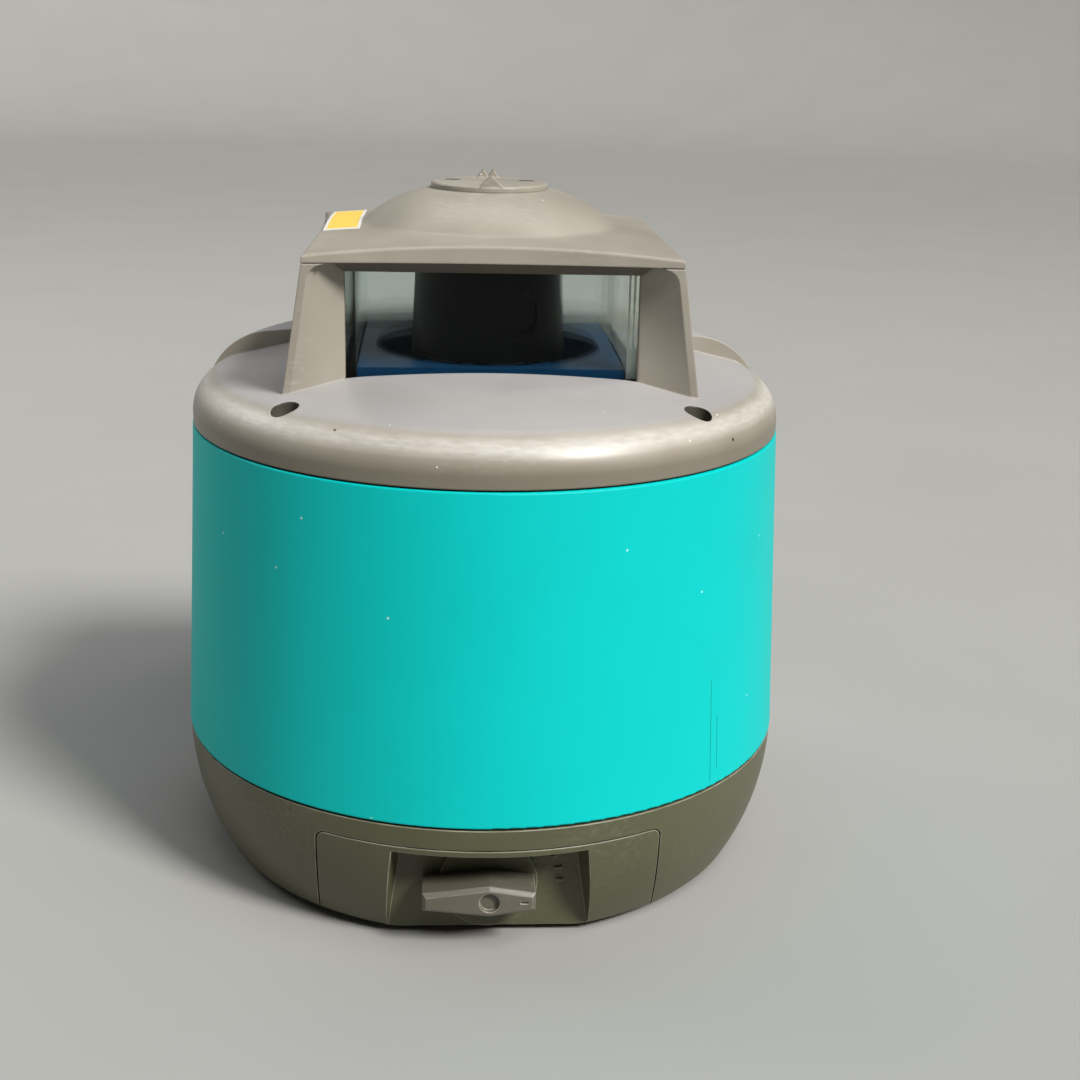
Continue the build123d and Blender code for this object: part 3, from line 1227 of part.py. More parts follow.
def battery_door():
    """Brown door panel that follows the base, with the latch recess."""
    outer = base_form() & door_space(0)
    skin = outer - base_form(WALL, BASE_FLOOR)
    pocket = recess_form(RECESS_WALL, RECESS_WALL) & outer
    door = skin + pocket - recess_form()
    for x in door_screw_places():
        spacer = rod_y(SCREW_HEAD, x, -RECESS_DEPTH + RECESS_WALL / 2, -TRAY_FRONT, door_screw_z())
        door = door + spacer
    tip = -door_screw_tip() - FIT_GAP
    for x in door_screw_places():
        door = door - rod_y(SCREW_SHANK + FIT_GAP, x, tip, -TRAY_FRONT + 1, door_screw_z())
    shaft_end = -RECESS_DEPTH + RECESS_WALL + 1
    return door - rod_y(LATCH_SHAFT + FIT_GAP, 0, -RECESS_DEPTH - 1, shaft_end, LATCH_Z)


def door_screw_places():
    """Door screws lie between the cells."""
    return [-CELL_PITCH / 2, CELL_PITCH / 2]


def door_screw_z():
    """Height of the door screws, under the widest part of the cells."""
    return TRAY_BOTTOM + TRAY_FLOOR + SCREW_HEAD + FIT_GAP


def door_screw_tip():
    """Distance of a door screw's tip from the middle."""
    return RECESS_DEPTH - RECESS_WALL / 4


def door_screws():
    """Two screws from the tray into the door."""
    screws = []
    for x in door_screw_places():
        seat = -TRAY_INSIDE_FRONT
        head = rod_y(SCREW_HEAD - PIN_INSET, x, seat, seat + SCREW_HEAD_HEIGHT, door_screw_z())
        screws.append(head + rod_y(SCREW_SHANK, x, -door_screw_tip(), seat, door_screw_z()))
    return group(screws)


def battery_tray():
    """Black tray with cradles for the cells, its side walls carried forward to the door."""
    top = TRAY_BOTTOM + TRAY_HEIGHT
    tray = block(-TRAY_HALF, TRAY_HALF, -LOWER_RADIUS, -TRAY_BACK, TRAY_BOTTOM, top)
    tray = tray & base_form(WALL + TRAY_GAP, BASE_FLOOR + TRAY_GAP)
    half = TRAY_INSIDE_HALF
    front = -TRAY_INSIDE_FRONT
    back = -TRAY_INSIDE_BACK
    inside = block(-half, half, front, back, TRAY_BOTTOM + TRAY_FLOOR, top + 1)
    ahead = block(-half, half, -LOWER_RADIUS, -TRAY_FRONT, 0, top + 1)
    tray = tray - inside - ahead
    for x in CELL_PLACES:
        tray = tray - rod_y(CELL_RADIUS + CONTACT_GAP, x, front, back, CELL_Z)
    for x in door_screw_places():
        tray = tray - rod_y(SCREW_SHANK + FIT_GAP, x, -TRAY_FRONT - 1, front + 1, door_screw_z())
    for x in blade_places():
        tray = tray - rod_y(CELL_NUB_RADIUS + FIT_GAP, x, back - 1, -TRAY_BACK + 1, CELL_Z)
    return tray


def battery_cells():
    """Three round cells side by side, turned end for end in turn."""
    cells = []
    front = -TRAY_INSIDE_FRONT + CONTACT_THICK + CONTACT_GAP
    for index, x in enumerate(CELL_PLACES):
        can = rod_y(CELL_RADIUS, x, front, front + CELL_LENGTH - CELL_NUB, CELL_Z)
        nub = rod_y(CELL_NUB_RADIUS, x, front, front + CELL_LENGTH, CELL_Z)
        if index % 2:
            can = Pos(0, CELL_NUB, 0) * can
        cells.append(can + nub)
    return group(cells)


def blade_places():
    """Outer cells, whose contacts reach through the back of the tray."""
    return [CELL_PLACES[0], CELL_PLACES[-1]]


def tray_contacts():
    """Spring-steel plates at both ends of the cells, the rear ones with pads through the tray."""
    plates = []
    low = CELL_Z - CONTACT_HALF / 2
    high = CELL_Z + CONTACT_HALF / 2
    front = -TRAY_INSIDE_FRONT
    back = -TRAY_INSIDE_BACK
    for x in CELL_PLACES:
        plates.append(block(x - CONTACT_HALF, x + CONTACT_HALF, front, front + CONTACT_THICK, low, high))
        plate = block(x - CONTACT_HALF, x + CONTACT_HALF, back - CONTACT_THICK, back, low, high)
        if x in blade_places():
            plate = plate + rod_y(CELL_NUB_RADIUS, x, back - CONTACT_THICK, -TRAY_BACK, CELL_Z)
        plates.append(plate)
    return group(plates)


def contact_blades():
    """Two blades on the base that meet the pads of the closed tray."""
    blades = []
    front = -TRAY_BACK + CONTACT_GAP
    top = CELL_Z + CELL_NUB_RADIUS
    for x in blade_places():
        left = x - CONTACT_HALF / 2
        blades.append(block(left, left + CONTACT_HALF, front, front + BLADE_THICK, FLOOR_TOP, top))
    return group(blades)


def latch_plate():
    """Round plate on the recess floor behind the knob."""
    front = -RECESS_DEPTH - LATCH_PLATE_THICK
    plate = rod_y(LATCH_PLATE, 0, front, -RECESS_DEPTH, LATCH_Z)
    return plate - rod_y(LATCH_SHAFT + FIT_GAP, 0, front - 1, -RECESS_DEPTH + 1, LATCH_Z)


def latch_knob():
    """Long hexagonal knob with a thumb dimple, an index mark and the shaft through the door."""
    left = -KNOB_LENGTH / 2 - KNOB_SHIFT
    right = KNOB_LENGTH / 2 - KNOB_SHIFT
    end = KNOB_END / 2
    middle = KNOB_HEIGHT / 2
    back = RECESS_DEPTH + LATCH_PLATE_THICK + KNOB_GAP
    corners = [(left, end), (left, -end), (0, -middle), (right, -end), (right, end), (0, middle)]
    points = [(x, LATCH_Z + z) for x, z in corners]
    knob = extrude(front_face(points, back), KNOB_DEPTH)
    knob = chamfer(knob.faces().sort_by(Axis.Y)[0].edges(), KNOB_BEVEL)
    front = -back - KNOB_DEPTH
    knob = knob - rod_y(KNOB_DIMPLE, 0, front - 1, front + KNOB_DIMPLE_DEPTH, LATCH_Z)
    mark_end = right - 2 * KNOB_BEVEL
    mark_half = KNOB_MARK / 2
    knob = knob - block(mark_end - 2 * KNOB_BEVEL, mark_end, front - 1, front + KNOB_MARK,
                        LATCH_Z - mark_half, LATCH_Z + mark_half)
    cam_front = -RECESS_DEPTH + RECESS_WALL + KNOB_GAP
    knob = knob + rod_y(LATCH_SHAFT, 0, -back - 1, cam_front, LATCH_Z)
    key_half = CAM_SQUARE / 2
    key = block(-key_half, key_half, cam_front - 1, cam_front + CAM_THICK, -key_half, key_half)
    return knob + Pos(0, 0, LATCH_Z) * key


def latch_cam():
    """Tongue on the knob's square, aimed up to the right at rest."""
    front = -RECESS_DEPTH + RECESS_WALL + KNOB_GAP
    back = front + CAM_THICK
    hole_half = CAM_SQUARE / 2 + PIN_RUN
    tongue = block(0, CAM_LENGTH, front, back, -CAM_HALF, CAM_HALF)
    cam = Rot(0, -45, 0) * tongue + rod_y(CAM_HUB, 0, front, back, 0)
    cam = cam - block(-hole_half, hole_half, front - 1, back + 1, -hole_half, hole_half)
    return Pos(0, 0, LATCH_Z) * cam


def pieces():
    """Every piece of the level under the name of its node."""
    to_roll = Rot(0, 0, -90)
    front = window_pane(PANE_HALF)
    side = window_pane(PANE_INNER - GLASS_GAP / 2)
    return {
        "base_housing": base_housing(),
        "rubber_feet": rubber_feet(),
        "tripod_insert": tripod_insert(),
        "insert_screws": insert_screws(),
        "lower_seal": seam_seal(BASE_RADIUS, BASE_TOP, BAND_BOTTOM),
        "body_band": body_band(),
        "upper_seal": seam_seal(COVER_RADIUS, BAND_TOP, COVER_BOTTOM),
        "top_cover": top_cover(),
        "tie_bolts": tie_bolts(),
        "lantern_base": lantern_base(),
        "lower_window_seal": window_seal(FLANGE_TOP, PANE_BOTTOM),
        "upper_window_seal": window_seal(PANE_TOP, SOFFIT),
        "window_front": front,
        "window_back": Rot(0, 0, 180) * front,
        "window_right": Rot(0, 0, 90) * side,
        "window_left": Rot(0, 0, -90) * side,
        "roof_cap": roof_cap(),
        "sight_disc": sight_disc(),
        "sight_screws": sight_screws(),
        "control_panel": control_panel(),
        "power_button": panel_button(0),
        "speed_button": panel_button(-1),
        "alert_button": panel_button(1),
        "indicator_lenses": indicator_lenses(),
        "panel_board": panel_board(),
        "chassis_plate": chassis_plate(),
        "chassis_screws": chassis_screws(),
        "carrier_posts": carrier_posts(),
        "gimbal_carrier": gimbal_carrier(),
        "outer_pivot_pins": outer_pivot_pins(),
        "gimbal_ring": gimbal_ring(),
        "inner_pivot_pins": inner_pivot_pins(),
        "main_board": main_board(),
        "laser_tube": laser_tube(),
        "laser_module": laser_module(),
        "collimating_lens": collimating_lens(),
        "level_vials": level_vials(),
        "spindle_bearings": spindle_bearings(),
        "spin_motor": spin_motor(),
        "motor_pulley": motor_pulley(),
        "drive_belt": drive_belt(),
        "spindle": spindle(),
        "turret_shell": turret_shell(),
        "pentaprism": pentaprism(),
        "aperture_lens": aperture_lens(),
        "pitch_motor": level_motor(),
        "pitch_screw": level_screw(),
        "pitch_nut": level_nut(),
        "roll_motor": to_roll * level_motor(),
        "roll_screw": to_roll * level_screw(),
        "roll_nut": to_roll * level_nut(),
        "battery_door": battery_door(),
        "door_screws": door_screws(),
        "battery_tray": battery_tray(),
        "battery_cells": battery_cells(),
        "tray_contacts": tray_contacts(),
        "contact_blades": contact_blades(),
        "latch_plate": latch_plate(),
        "latch_knob": latch_knob(),
        "latch_cam": latch_cam(),
    }


os.makedirs("parts", exist_ok=True)
for name, shape in pieces().items():
    export_step(shape, f"parts/{name}.step")
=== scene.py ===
from math import cos, pi, radians, sin

import bmesh
import bpy
from mathutils import Matrix, Vector
from mathutils.bvhtree import BVHTree


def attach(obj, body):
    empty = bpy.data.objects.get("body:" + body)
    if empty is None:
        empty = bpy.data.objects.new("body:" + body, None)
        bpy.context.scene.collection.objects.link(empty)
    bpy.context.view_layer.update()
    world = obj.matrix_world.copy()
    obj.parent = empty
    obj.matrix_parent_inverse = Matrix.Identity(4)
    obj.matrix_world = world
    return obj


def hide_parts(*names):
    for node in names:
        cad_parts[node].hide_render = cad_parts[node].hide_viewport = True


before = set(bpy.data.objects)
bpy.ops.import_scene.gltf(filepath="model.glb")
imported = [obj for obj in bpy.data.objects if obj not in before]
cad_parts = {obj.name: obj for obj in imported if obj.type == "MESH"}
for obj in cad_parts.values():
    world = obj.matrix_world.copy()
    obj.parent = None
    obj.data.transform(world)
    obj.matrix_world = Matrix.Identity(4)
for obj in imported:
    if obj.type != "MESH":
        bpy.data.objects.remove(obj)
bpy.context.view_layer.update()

scene = bpy.context.scene


# Studio: a plain pale cove all round, one soft key light from the right over the camera, and three light
# panels: overhead in front, overhead behind and behind on the left. The camera stands where the
# photograph was taken, in front of the battery door.

def paint(red, green, blue):
    """Linear colour of a paint given in screen values from 0 to 255."""
    shares = [value / 255 for value in (red, green, blue)]
    return (*[s / 12.92 if s <= 0.04045 else ((s + 0.055) / 1.055) ** 2.4 for s in shares], 1.0)


def add_node(tree, kind, inputs=None, **settings):
    """Adds a node with its settings, and gives each input a value or a link."""
    made = tree.nodes.new(kind)
    for name, value in settings.items():
        setattr(made, name, value)
    for name, value in (inputs or {}).items():
        if isinstance(value, bpy.types.NodeSocket):
            tree.links.new(value, made.inputs[name])
        else:
            made.inputs[name].default_value = value
    return made


def new_finish(name):
    """New material: its node tree, its surface shader and the place on the object in metres."""
    material = bpy.data.materials.new(name)
    material.use_nodes = True
    tree = material.node_tree
    place = add_node(tree, "ShaderNodeTexCoord").outputs["Object"]
    return material, tree, tree.nodes["Principled BSDF"], place


def cloud(tree, place, per_metre, detail=3.0, stretch=None, turn=(0, 0, 0)):
    """Soft noise from 0 to 1, stretched along an axis if asked."""
    if stretch:
        mapping = add_node(tree, "ShaderNodeMapping", {"Vector": place, "Scale": stretch, "Rotation": turn})
        place = mapping.outputs["Vector"]
    noise = add_node(tree, "ShaderNodeTexNoise", {"Vector": place, "Scale": per_metre, "Detail": detail})
    return noise.outputs["Fac"]


def spread(tree, value, low, high, to_low=0.0, to_high=1.0):
    """Maps a value from one range to another, and stops at its ends."""
    inputs = {"Value": value, "From Min": low, "From Max": high, "To Min": to_low, "To Max": to_high}
    return add_node(tree, "ShaderNodeMapRange", inputs).outputs["Result"]


def combine(tree, operation, first, second):
    """Sum, product or other arithmetic of two values."""
    return add_node(tree, "ShaderNodeMath", {0: first, 1: second}, operation=operation).outputs["Value"]


def mixed(tree, share, first, second):
    """Colour between two colours."""
    inputs = {"Factor": share, 6: first, 7: second}
    return add_node(tree, "ShaderNodeMix", inputs, data_type="RGBA").outputs[2]


def grain(tree, height, strength, depth, normal=None):
    """Shading normal of a fine surface grain."""
    inputs = {"Height": height, "Strength": strength, "Distance": depth}
    if normal:
        inputs["Normal"] = normal
    return add_node(tree, "ShaderNodeBump", inputs).outputs["Normal"]


def set_shader(tree, shader, **inputs):
    """Sets inputs of the surface shader, with underscores for the blanks in their names."""
    for name, value in inputs.items():
        socket = shader.inputs[name.replace("_", " ")]
        if isinstance(value, bpy.types.NodeSocket):
            tree.links.new(value, socket)
        else:
            socket.default_value = value


def new_object(name, mesh):
    """Object at the origin for a mesh."""
    obj = bpy.data.objects.new(name, mesh)
    scene.collection.objects.link(obj)
    return obj


def cove_finish():
    """Pale matt paint with a faint unevenness."""
    material, tree, shader, place = new_finish("cove_finish")
    tone = mixed(tree, cloud(tree, place, 9.0), paint(152, 151, 148), paint(158, 157, 154))
    set_shader(tree, shader, Base_Color=tone, Roughness=0.8, Specular_IOR_Level=0.2)
    return material


def studio_cove(material):
    """Round floor that curves up into a low wall."""
    profile = [(COVE_MIDDLE, 0.0), (COVE_FLAT, 0.0)]
    for i in range(1, COVE_STEPS + 1):
        angle = pi / 2 * i / COVE_STEPS
        profile.append((COVE_FLAT + COVE_CURVE * sin(angle), COVE_CURVE * (1 - cos(angle))))
    profile.append((COVE_FLAT + COVE_CURVE, COVE_TOP))
    points = []
    faces = []
    for j in range(COVE_SIDES):
        turn = 2 * pi * j / COVE_SIDES
        points += [(r * cos(turn), r * sin(turn), z - FLOOR_DROP) for r, z in profile]
    count = len(profile)
    for j in range(COVE_SIDES):
        here = j * count
        there = (j + 1) % COVE_SIDES * count
        faces += [(here + i, here + i + 1, there + i + 1, there + i) for i in range(count - 1)]
    faces.append([j * count for j in range(COVE_SIDES)])
    mesh = bpy.data.meshes.new("cove")
    mesh.from_pydata(points, [], faces)
    mesh.polygons.foreach_set("use_smooth", [True] * len(mesh.polygons))
    mesh.materials.append(material)
    return new_object("cove", mesh)


def soft_light(name, place, width, depth, power):
    """Light panel that faces the level."""
    data = bpy.data.lights.new(name, "AREA")
    data.shape = "RECTANGLE"
    data.size = width
    data.size_y = depth
    data.energy = power
    data.color = PANEL_COLOUR
    lamp = bpy.data.objects.new(name, data)
    lamp.location = place
    lamp.rotation_euler = (Vector(LIGHT_AIM) - Vector(place)).to_track_quat("-Z", "Y").to_euler()
    scene.collection.objects.link(lamp)


COVE_MIDDLE = 0.001
COVE_FLAT = 3.0
COVE_CURVE = 1.0
COVE_TOP = 1.4
COVE_STEPS = 12
COVE_SIDES = 96
FLOOR_DROP = 0.0002
KEY_FROM = (0.520, -0.531, 0.669)
KEY_SPREAD = radians(15)
KEY_POWER = 4.3
CAMERA_PLACE = (-0.0153, -0.4765, 0.2413)
CAMERA_YAW = radians(3.87)
CAMERA_DIP = radians(17.49)
CAMERA_ROLL = radians(1.45)
CAMERA_LENS = 54.67
CAMERA_SENSOR = 36.0
LIGHT_AIM = (0, 0, 0.10)
KEY_COLOUR = (1.0, 0.985, 0.95)
PANEL_COLOUR = (0.97, 0.98, 1.0)
LIGHT_PANELS = [
    ("top_light", (0.50, -0.75, 1.60), 1.6, 0.45, 12.0),
    ("back_light", (0.10, 0.70, 1.60), 1.8, 0.6, 7.0),
    ("left_light", (-1.20, 0.65, 1.00), 0.7, 0.5, 5.0),
]
SURROUND_COLOUR = (0.86, 0.90, 0.95, 1.0)
SURROUND_POWER = 0.06

studio_cove(cove_finish())

key_data = bpy.data.lights.new("key_light", "SUN")
key_data.energy = KEY_POWER
key_data.angle = KEY_SPREAD
key_data.color = KEY_COLOUR
key = bpy.data.objects.new("key_light", key_data)
key.rotation_euler = Vector(KEY_FROM).to_track_quat("Z", "Y").to_euler()
scene.collection.objects.link(key)
for name, place, width, depth, power in LIGHT_PANELS:
    soft_light(name, place, width, depth, power)

surround = bpy.data.worlds.new("surround")
surround.use_nodes = True
surround_light = surround.node_tree.nodes["Background"]
surround_light.inputs["Color"].default_value = SURROUND_COLOUR
surround_light.inputs["Strength"].default_value = SURROUND_POWER
scene.world = surround
scene.view_settings.view_transform = "Standard"

camera_data = bpy.data.cameras.new("camera")
camera_data.lens = CAMERA_LENS
camera_data.sensor_width = CAMERA_SENSOR
camera = bpy.data.objects.new("camera", camera_data)
camera_turn = (
    Matrix.Rotation(-CAMERA_YAW, 4, "Z")
    @ Matrix.Rotation(pi / 2 - CAMERA_DIP, 4, "X")
    @ Matrix.Rotation(CAMERA_ROLL, 4, "Z")
)
camera.matrix_world = Matrix.Translation(CAMERA_PLACE) @ camera_turn
scene.collection.objects.link(camera)
scene.camera = camera


# Rubber feet and seals: moulded black rubber, pressed into the base floor, into both seams of the body
# and round the edges of the window panes. They are dusty and slightly grey.

def dress(material, *nodes):
    """Gives CAD nodes this finish."""
    for name in nodes:
        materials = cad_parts[name].data.materials
        if len(materials):
            materials[0] = material
        else:
            materials.append(material)


def seal_rubber():
    """Black rubber with a dusty bloom."""
    material, tree, shader, place = new_finish("seal_rubber_finish")
    bloom = spread(tree, cloud(tree, place, 90.0, 5.0), 0.45, 0.75)
    tone = mixed(tree, bloom, paint(20, 20, 20), paint(44, 43, 40))
    normal = grain(tree, cloud(tree, place, 2600.0), 0.25, 0.0002)
    set_shader(tree, shader, Base_Color=tone, Roughness=spread(tree, bloom, 0, 1, 0.6, 0.85), Normal=normal)
    return material


rubber = seal_rubber()
dress(rubber, "rubber_feet", "lower_seal", "upper_seal", "lower_window_seal", "upper_window_seal")


# Tripod seat: a turned light-alloy plate with a threaded socket, held under the base by four flat-headed
# screws with cross recesses. The thread is one ridge wound inside the socket.

def light_alloy():
    """Machined aluminium with fine turning marks and dull spots."""
    material, tree, shader, place = new_finish("light_alloy_finish")
    marks = cloud(tree, place, 420.0, 2.0, stretch=(1, 1, 9))
    spots = spread(tree, cloud(tree, place, 70.0, 4.0), 0.5, 0.8)
    tone = mixed(tree, spots, paint(196, 196, 194), paint(150, 150, 150))
    rough = spread(tree, combine(tree, "ADD", marks, spots), 0.4, 1.6, 0.28, 0.55)
    set_shader(tree, shader, Base_Color=tone, Metallic=1.0, Roughness=rough,
               Normal=grain(tree, marks, 0.15, 0.0001))
    return material


def bright_steel():
    """Zinc-plated steel with a cloudy shine."""
    material, tree, shader, place = new_finish("steel_finish")
    shine = cloud(tree, place, 350.0, 4.0)
    tone = mixed(tree, spread(tree, shine, 0.35, 0.7), paint(176, 177, 180), paint(140, 139, 136))
    rough = spread(tree, shine, 0.3, 0.7, 0.2, 0.45)
    normal = grain(tree, cloud(tree, place, 1500.0), 0.08, 0.0001)
    set_shader(tree, shader, Base_Color=tone, Metallic=1.0, Roughness=rough, Normal=normal)
    return material


def size_tree(name, sizes):
    """New geometry tree with a named input for each size, and its two end nodes."""
    tree = bpy.data.node_groups.new(name, "GeometryNodeTree")
    tree.interface.new_socket(name="Geometry", in_out="INPUT", socket_type="NodeSocketGeometry")
    for size in sizes:
        tree.interface.new_socket(name=size, in_out="INPUT", socket_type="NodeSocketFloat")
    tree.interface.new_socket(name="Geometry", in_out="OUTPUT", socket_type="NodeSocketGeometry")
    return tree, add_node(tree, "NodeGroupInput").outputs, add_node(tree, "NodeGroupOutput")


def close_tree(tree, end, geometry, material):
    """Ends a geometry tree: one plain mesh in one finish."""
    real = add_node(tree, "GeometryNodeRealizeInstances", {"Geometry": geometry})
    inputs = {"Geometry": real.outputs["Geometry"], "Material": material}
    finished = add_node(tree, "GeometryNodeSetMaterial", inputs)
    tree.links.new(finished.outputs["Geometry"], end.inputs["Geometry"])


def grow(name, tree, sizes, start=None):
    """Runs a geometry tree with these sizes, on a start mesh if it needs one, and keeps the plain mesh."""
    obj = new_object(name, start or bpy.data.meshes.new(name))
    modifier = obj.modifiers.new("tree", "NODES")
    modifier.node_group = tree
    for item in tree.interface.items_tree:
        if item.in_out == "INPUT" and item.name in sizes:
            modifier[item.identifier] = sizes[item.name]
    depsgraph = bpy.context.evaluated_depsgraph_get()
    mesh = bpy.data.meshes.new_from_object(obj.evaluated_get(depsgraph), depsgraph=depsgraph)
    obj.modifiers.clear()
    obj.data = mesh
    return obj


def lifted(tree, shape, low, high):
    """Moves a shape up from the origin to the middle of two levels."""
    middle = combine(tree, "MULTIPLY", combine(tree, "ADD", low, high), 0.5)
    lift = add_node(tree, "ShaderNodeCombineXYZ", {"Z": middle}).outputs["Vector"]
    inputs = {"Geometry": shape, "Translation": lift}
    return add_node(tree, "GeometryNodeTransform", inputs).outputs["Geometry"]


def upright_box(tree, width, depth, low, high):
    """Box from one level to another."""
    tall = combine(tree, "SUBTRACT", high, low)
    size = add_node(tree, "ShaderNodeCombineXYZ", {"X": width, "Y": depth, "Z": tall}).outputs["Vector"]
    box = add_node(tree, "GeometryNodeMeshCube", {"Size": size}).outputs["Mesh"]
    return lifted(tree, box, low, high)


def upright_rod(tree, radius, low, high):
    """Round rod from one level to another."""
    tall = combine(tree, "SUBTRACT", high, low)
    inputs = {"Radius": radius, "Depth": tall, "Vertices": ROD_SIDES}
    rod = add_node(tree, "GeometryNodeMeshCylinder", inputs).outputs["Mesh"]
    return lifted(tree, rod, low, high)


def screw_tree(material):
    """Four screws in the corners of a square: a flat head with a cross recess on a plain shank."""
    names = ["Place", "Head Radius", "Head Bottom", "Head Top", "Shank Radius", "Shank Top",
             "Cross Length", "Cross Width", "Cross Depth"]
    tree, sizes, end = size_tree("cross_screws", names)
    side = combine(tree, "MULTIPLY", sizes["Place"], 2.0)
    inputs = {"Size X": side, "Size Y": side, "Vertices X": 2, "Vertices Y": 2}
    places = add_node(tree, "GeometryNodeMeshGrid", inputs).outputs["Mesh"]
    head = upright_rod(tree, sizes["Head Radius"], sizes["Head Bottom"], sizes["Head Top"])
    below = combine(tree, "SUBTRACT", sizes["Head Bottom"], sizes["Cross Depth"])
    floor = combine(tree, "ADD", sizes["Head Bottom"], sizes["Cross Depth"])
    cross = add_node(tree, "GeometryNodeMeshBoolean", operation="DIFFERENCE", solver="EXACT")
    tree.links.new(head, cross.inputs["Mesh 1"])
    length = sizes["Cross Length"]
    width = sizes["Cross Width"]
    for across, along in ((length, width), (width, length)):
        cut = upright_box(tree, across, along, below, floor)
        tree.links.new(cut, cross.inputs["Mesh 2"])
    shank = upright_rod(tree, sizes["Shank Radius"], sizes["Head Top"], sizes["Shank Top"])
    both = add_node(tree, "GeometryNodeJoinGeometry")
    tree.links.new(cross.outputs["Mesh"], both.inputs["Geometry"])
    tree.links.new(shank, both.inputs["Geometry"])
    inputs = {"Points": places, "Instance": both.outputs["Geometry"]}
    screws = add_node(tree, "GeometryNodeInstanceOnPoints", inputs).outputs["Instances"]
    close_tree(tree, end, screws, material)
    return tree


def thread_tree(material):
    """Ridge wound up a bore."""
    tree, sizes, end = size_tree("thread_ridge", ["Radius", "Height", "Turns", "Ridge"])
    inputs = {"Resolution": THREAD_STEPS, "Rotations": sizes["Turns"], "Start Radius": sizes["Radius"],
              "End Radius": sizes["Radius"], "Height": sizes["Height"]}
    path = add_node(tree, "GeometryNodeCurveSpiral", inputs).outputs["Curve"]
    inputs = {"Resolution": THREAD_CORNERS, "Radius": sizes["Ridge"]}
    profile = add_node(tree, "GeometryNodeCurvePrimitiveCircle", inputs).outputs["Curve"]
    inputs = {"Curve": path, "Profile Curve": profile, "Fill Caps": True}
    ridge = add_node(tree, "GeometryNodeCurveToMesh", inputs).outputs["Mesh"]
    close_tree(tree, end, ridge, material)
    return tree


THREAD_RADIUS = 0.00675
THREAD_HEIGHT = 0.0150
THREAD_PITCH = 0.00231
THREAD_RIDGE = 0.0006
THREAD_START = 0.0007
THREAD_STEPS = 32
THREAD_CORNERS = 3
ROD_SIDES = 40
SCREW_PLACE = 0.0184
SCREW_HEAD = 0.0028
SCREW_BOTTOM = 0.0001
SCREW_SEAT = 0.0010
SCREW_SHANK = 0.0015
SCREW_TIP = 0.0045
CROSS_LENGTH = 0.0034
CROSS_WIDTH = 0.0007
CROSS_DEPTH = 0.0006

alloy = light_alloy()
steel = bright_steel()
dress(alloy, "tripod_insert")
thread = grow("tripod_thread", thread_tree(alloy), {
    "Radius": THREAD_RADIUS, "Height": THREAD_HEIGHT, "Turns": THREAD_HEIGHT / THREAD_PITCH,
    "Ridge": THREAD_RIDGE})
thread.data.transform(Matrix.Translation((0, 0, THREAD_START)))
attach(thread, "housing")
screws = grow("cross_screws", screw_tree(steel), {
    "Place": SCREW_PLACE, "Head Radius": SCREW_HEAD, "Head Bottom": SCREW_BOTTOM, "Head Top": SCREW_SEAT,
    "Shank Radius": SCREW_SHANK, "Shank Top": SCREW_TIP, "Cross Length": CROSS_LENGTH,
    "Cross Width": CROSS_WIDTH, "Cross Depth": CROSS_DEPTH})
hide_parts("insert_screws")
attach(screws, "housing")


# Base housing: brown moulded plastic with a smooth satin skin, painted darker and greener than the cover as
# painted shade and a painted bounce of light from the ground, pale along its edges partly from rubbing and
# partly as a painted highlight, with fine scratches and a few flecks of paint from years on building sites.

def edge_wear(tree, radius):
    """Shading normal that rounds the sharp edges, and a share that is high along them."""
    rounded = add_node(tree, "ShaderNodeBevel", {"Radius": radius}, samples=6).outputs["Normal"]
    plain = add_node(tree, "ShaderNodeNewGeometry").outputs["Normal"]
    inputs = {0: rounded, 1: plain}
    alike = add_node(tree, "ShaderNodeVectorMath", inputs, operation="DOT_PRODUCT").outputs["Value"]
    return rounded, spread(tree, alike, 0.985, 0.80)


def upward_facing(tree):
    """How far the surface faces up, from minus one to one."""
    facing = add_node(tree, "ShaderNodeNewGeometry").outputs["Normal"]
    return add_node(tree, "ShaderNodeSeparateXYZ", {"Vector": facing}).outputs["Z"]


def flecks(tree, place, per_metre, size, share):
    """Scattered round specks: the share of cells that has one, and their size in cells."""
    inputs = {"Vector": place, "Scale": per_metre}
    cells = add_node(tree, "ShaderNodeTexVoronoi", inputs)
    spot = spread(tree, cells.outputs["Distance"], size, size * 0.6)
    chosen = add_node(tree, "ShaderNodeSeparateColor", {"Color": cells.outputs["Color"]}).outputs["Red"]
    return combine(tree, "MULTIPLY", spot, combine(tree, "LESS_THAN", chosen, share))


def hairlines(tree, place, stretch, turn, patches):
    """Thin scratches in one direction, in patches."""
    lines = cloud(tree, place, 60.0, 1.0, stretch=stretch, turn=turn)
    distance = combine(tree, "ABSOLUTE", combine(tree, "SUBTRACT", lines, 0.5), 0.0)
    thin = spread(tree, distance, 0.004, 0.001)
    where = spread(tree, cloud(tree, place, patches, 2.0), 0.56, 0.66)
    return combine(tree, "MULTIPLY", thin, where)


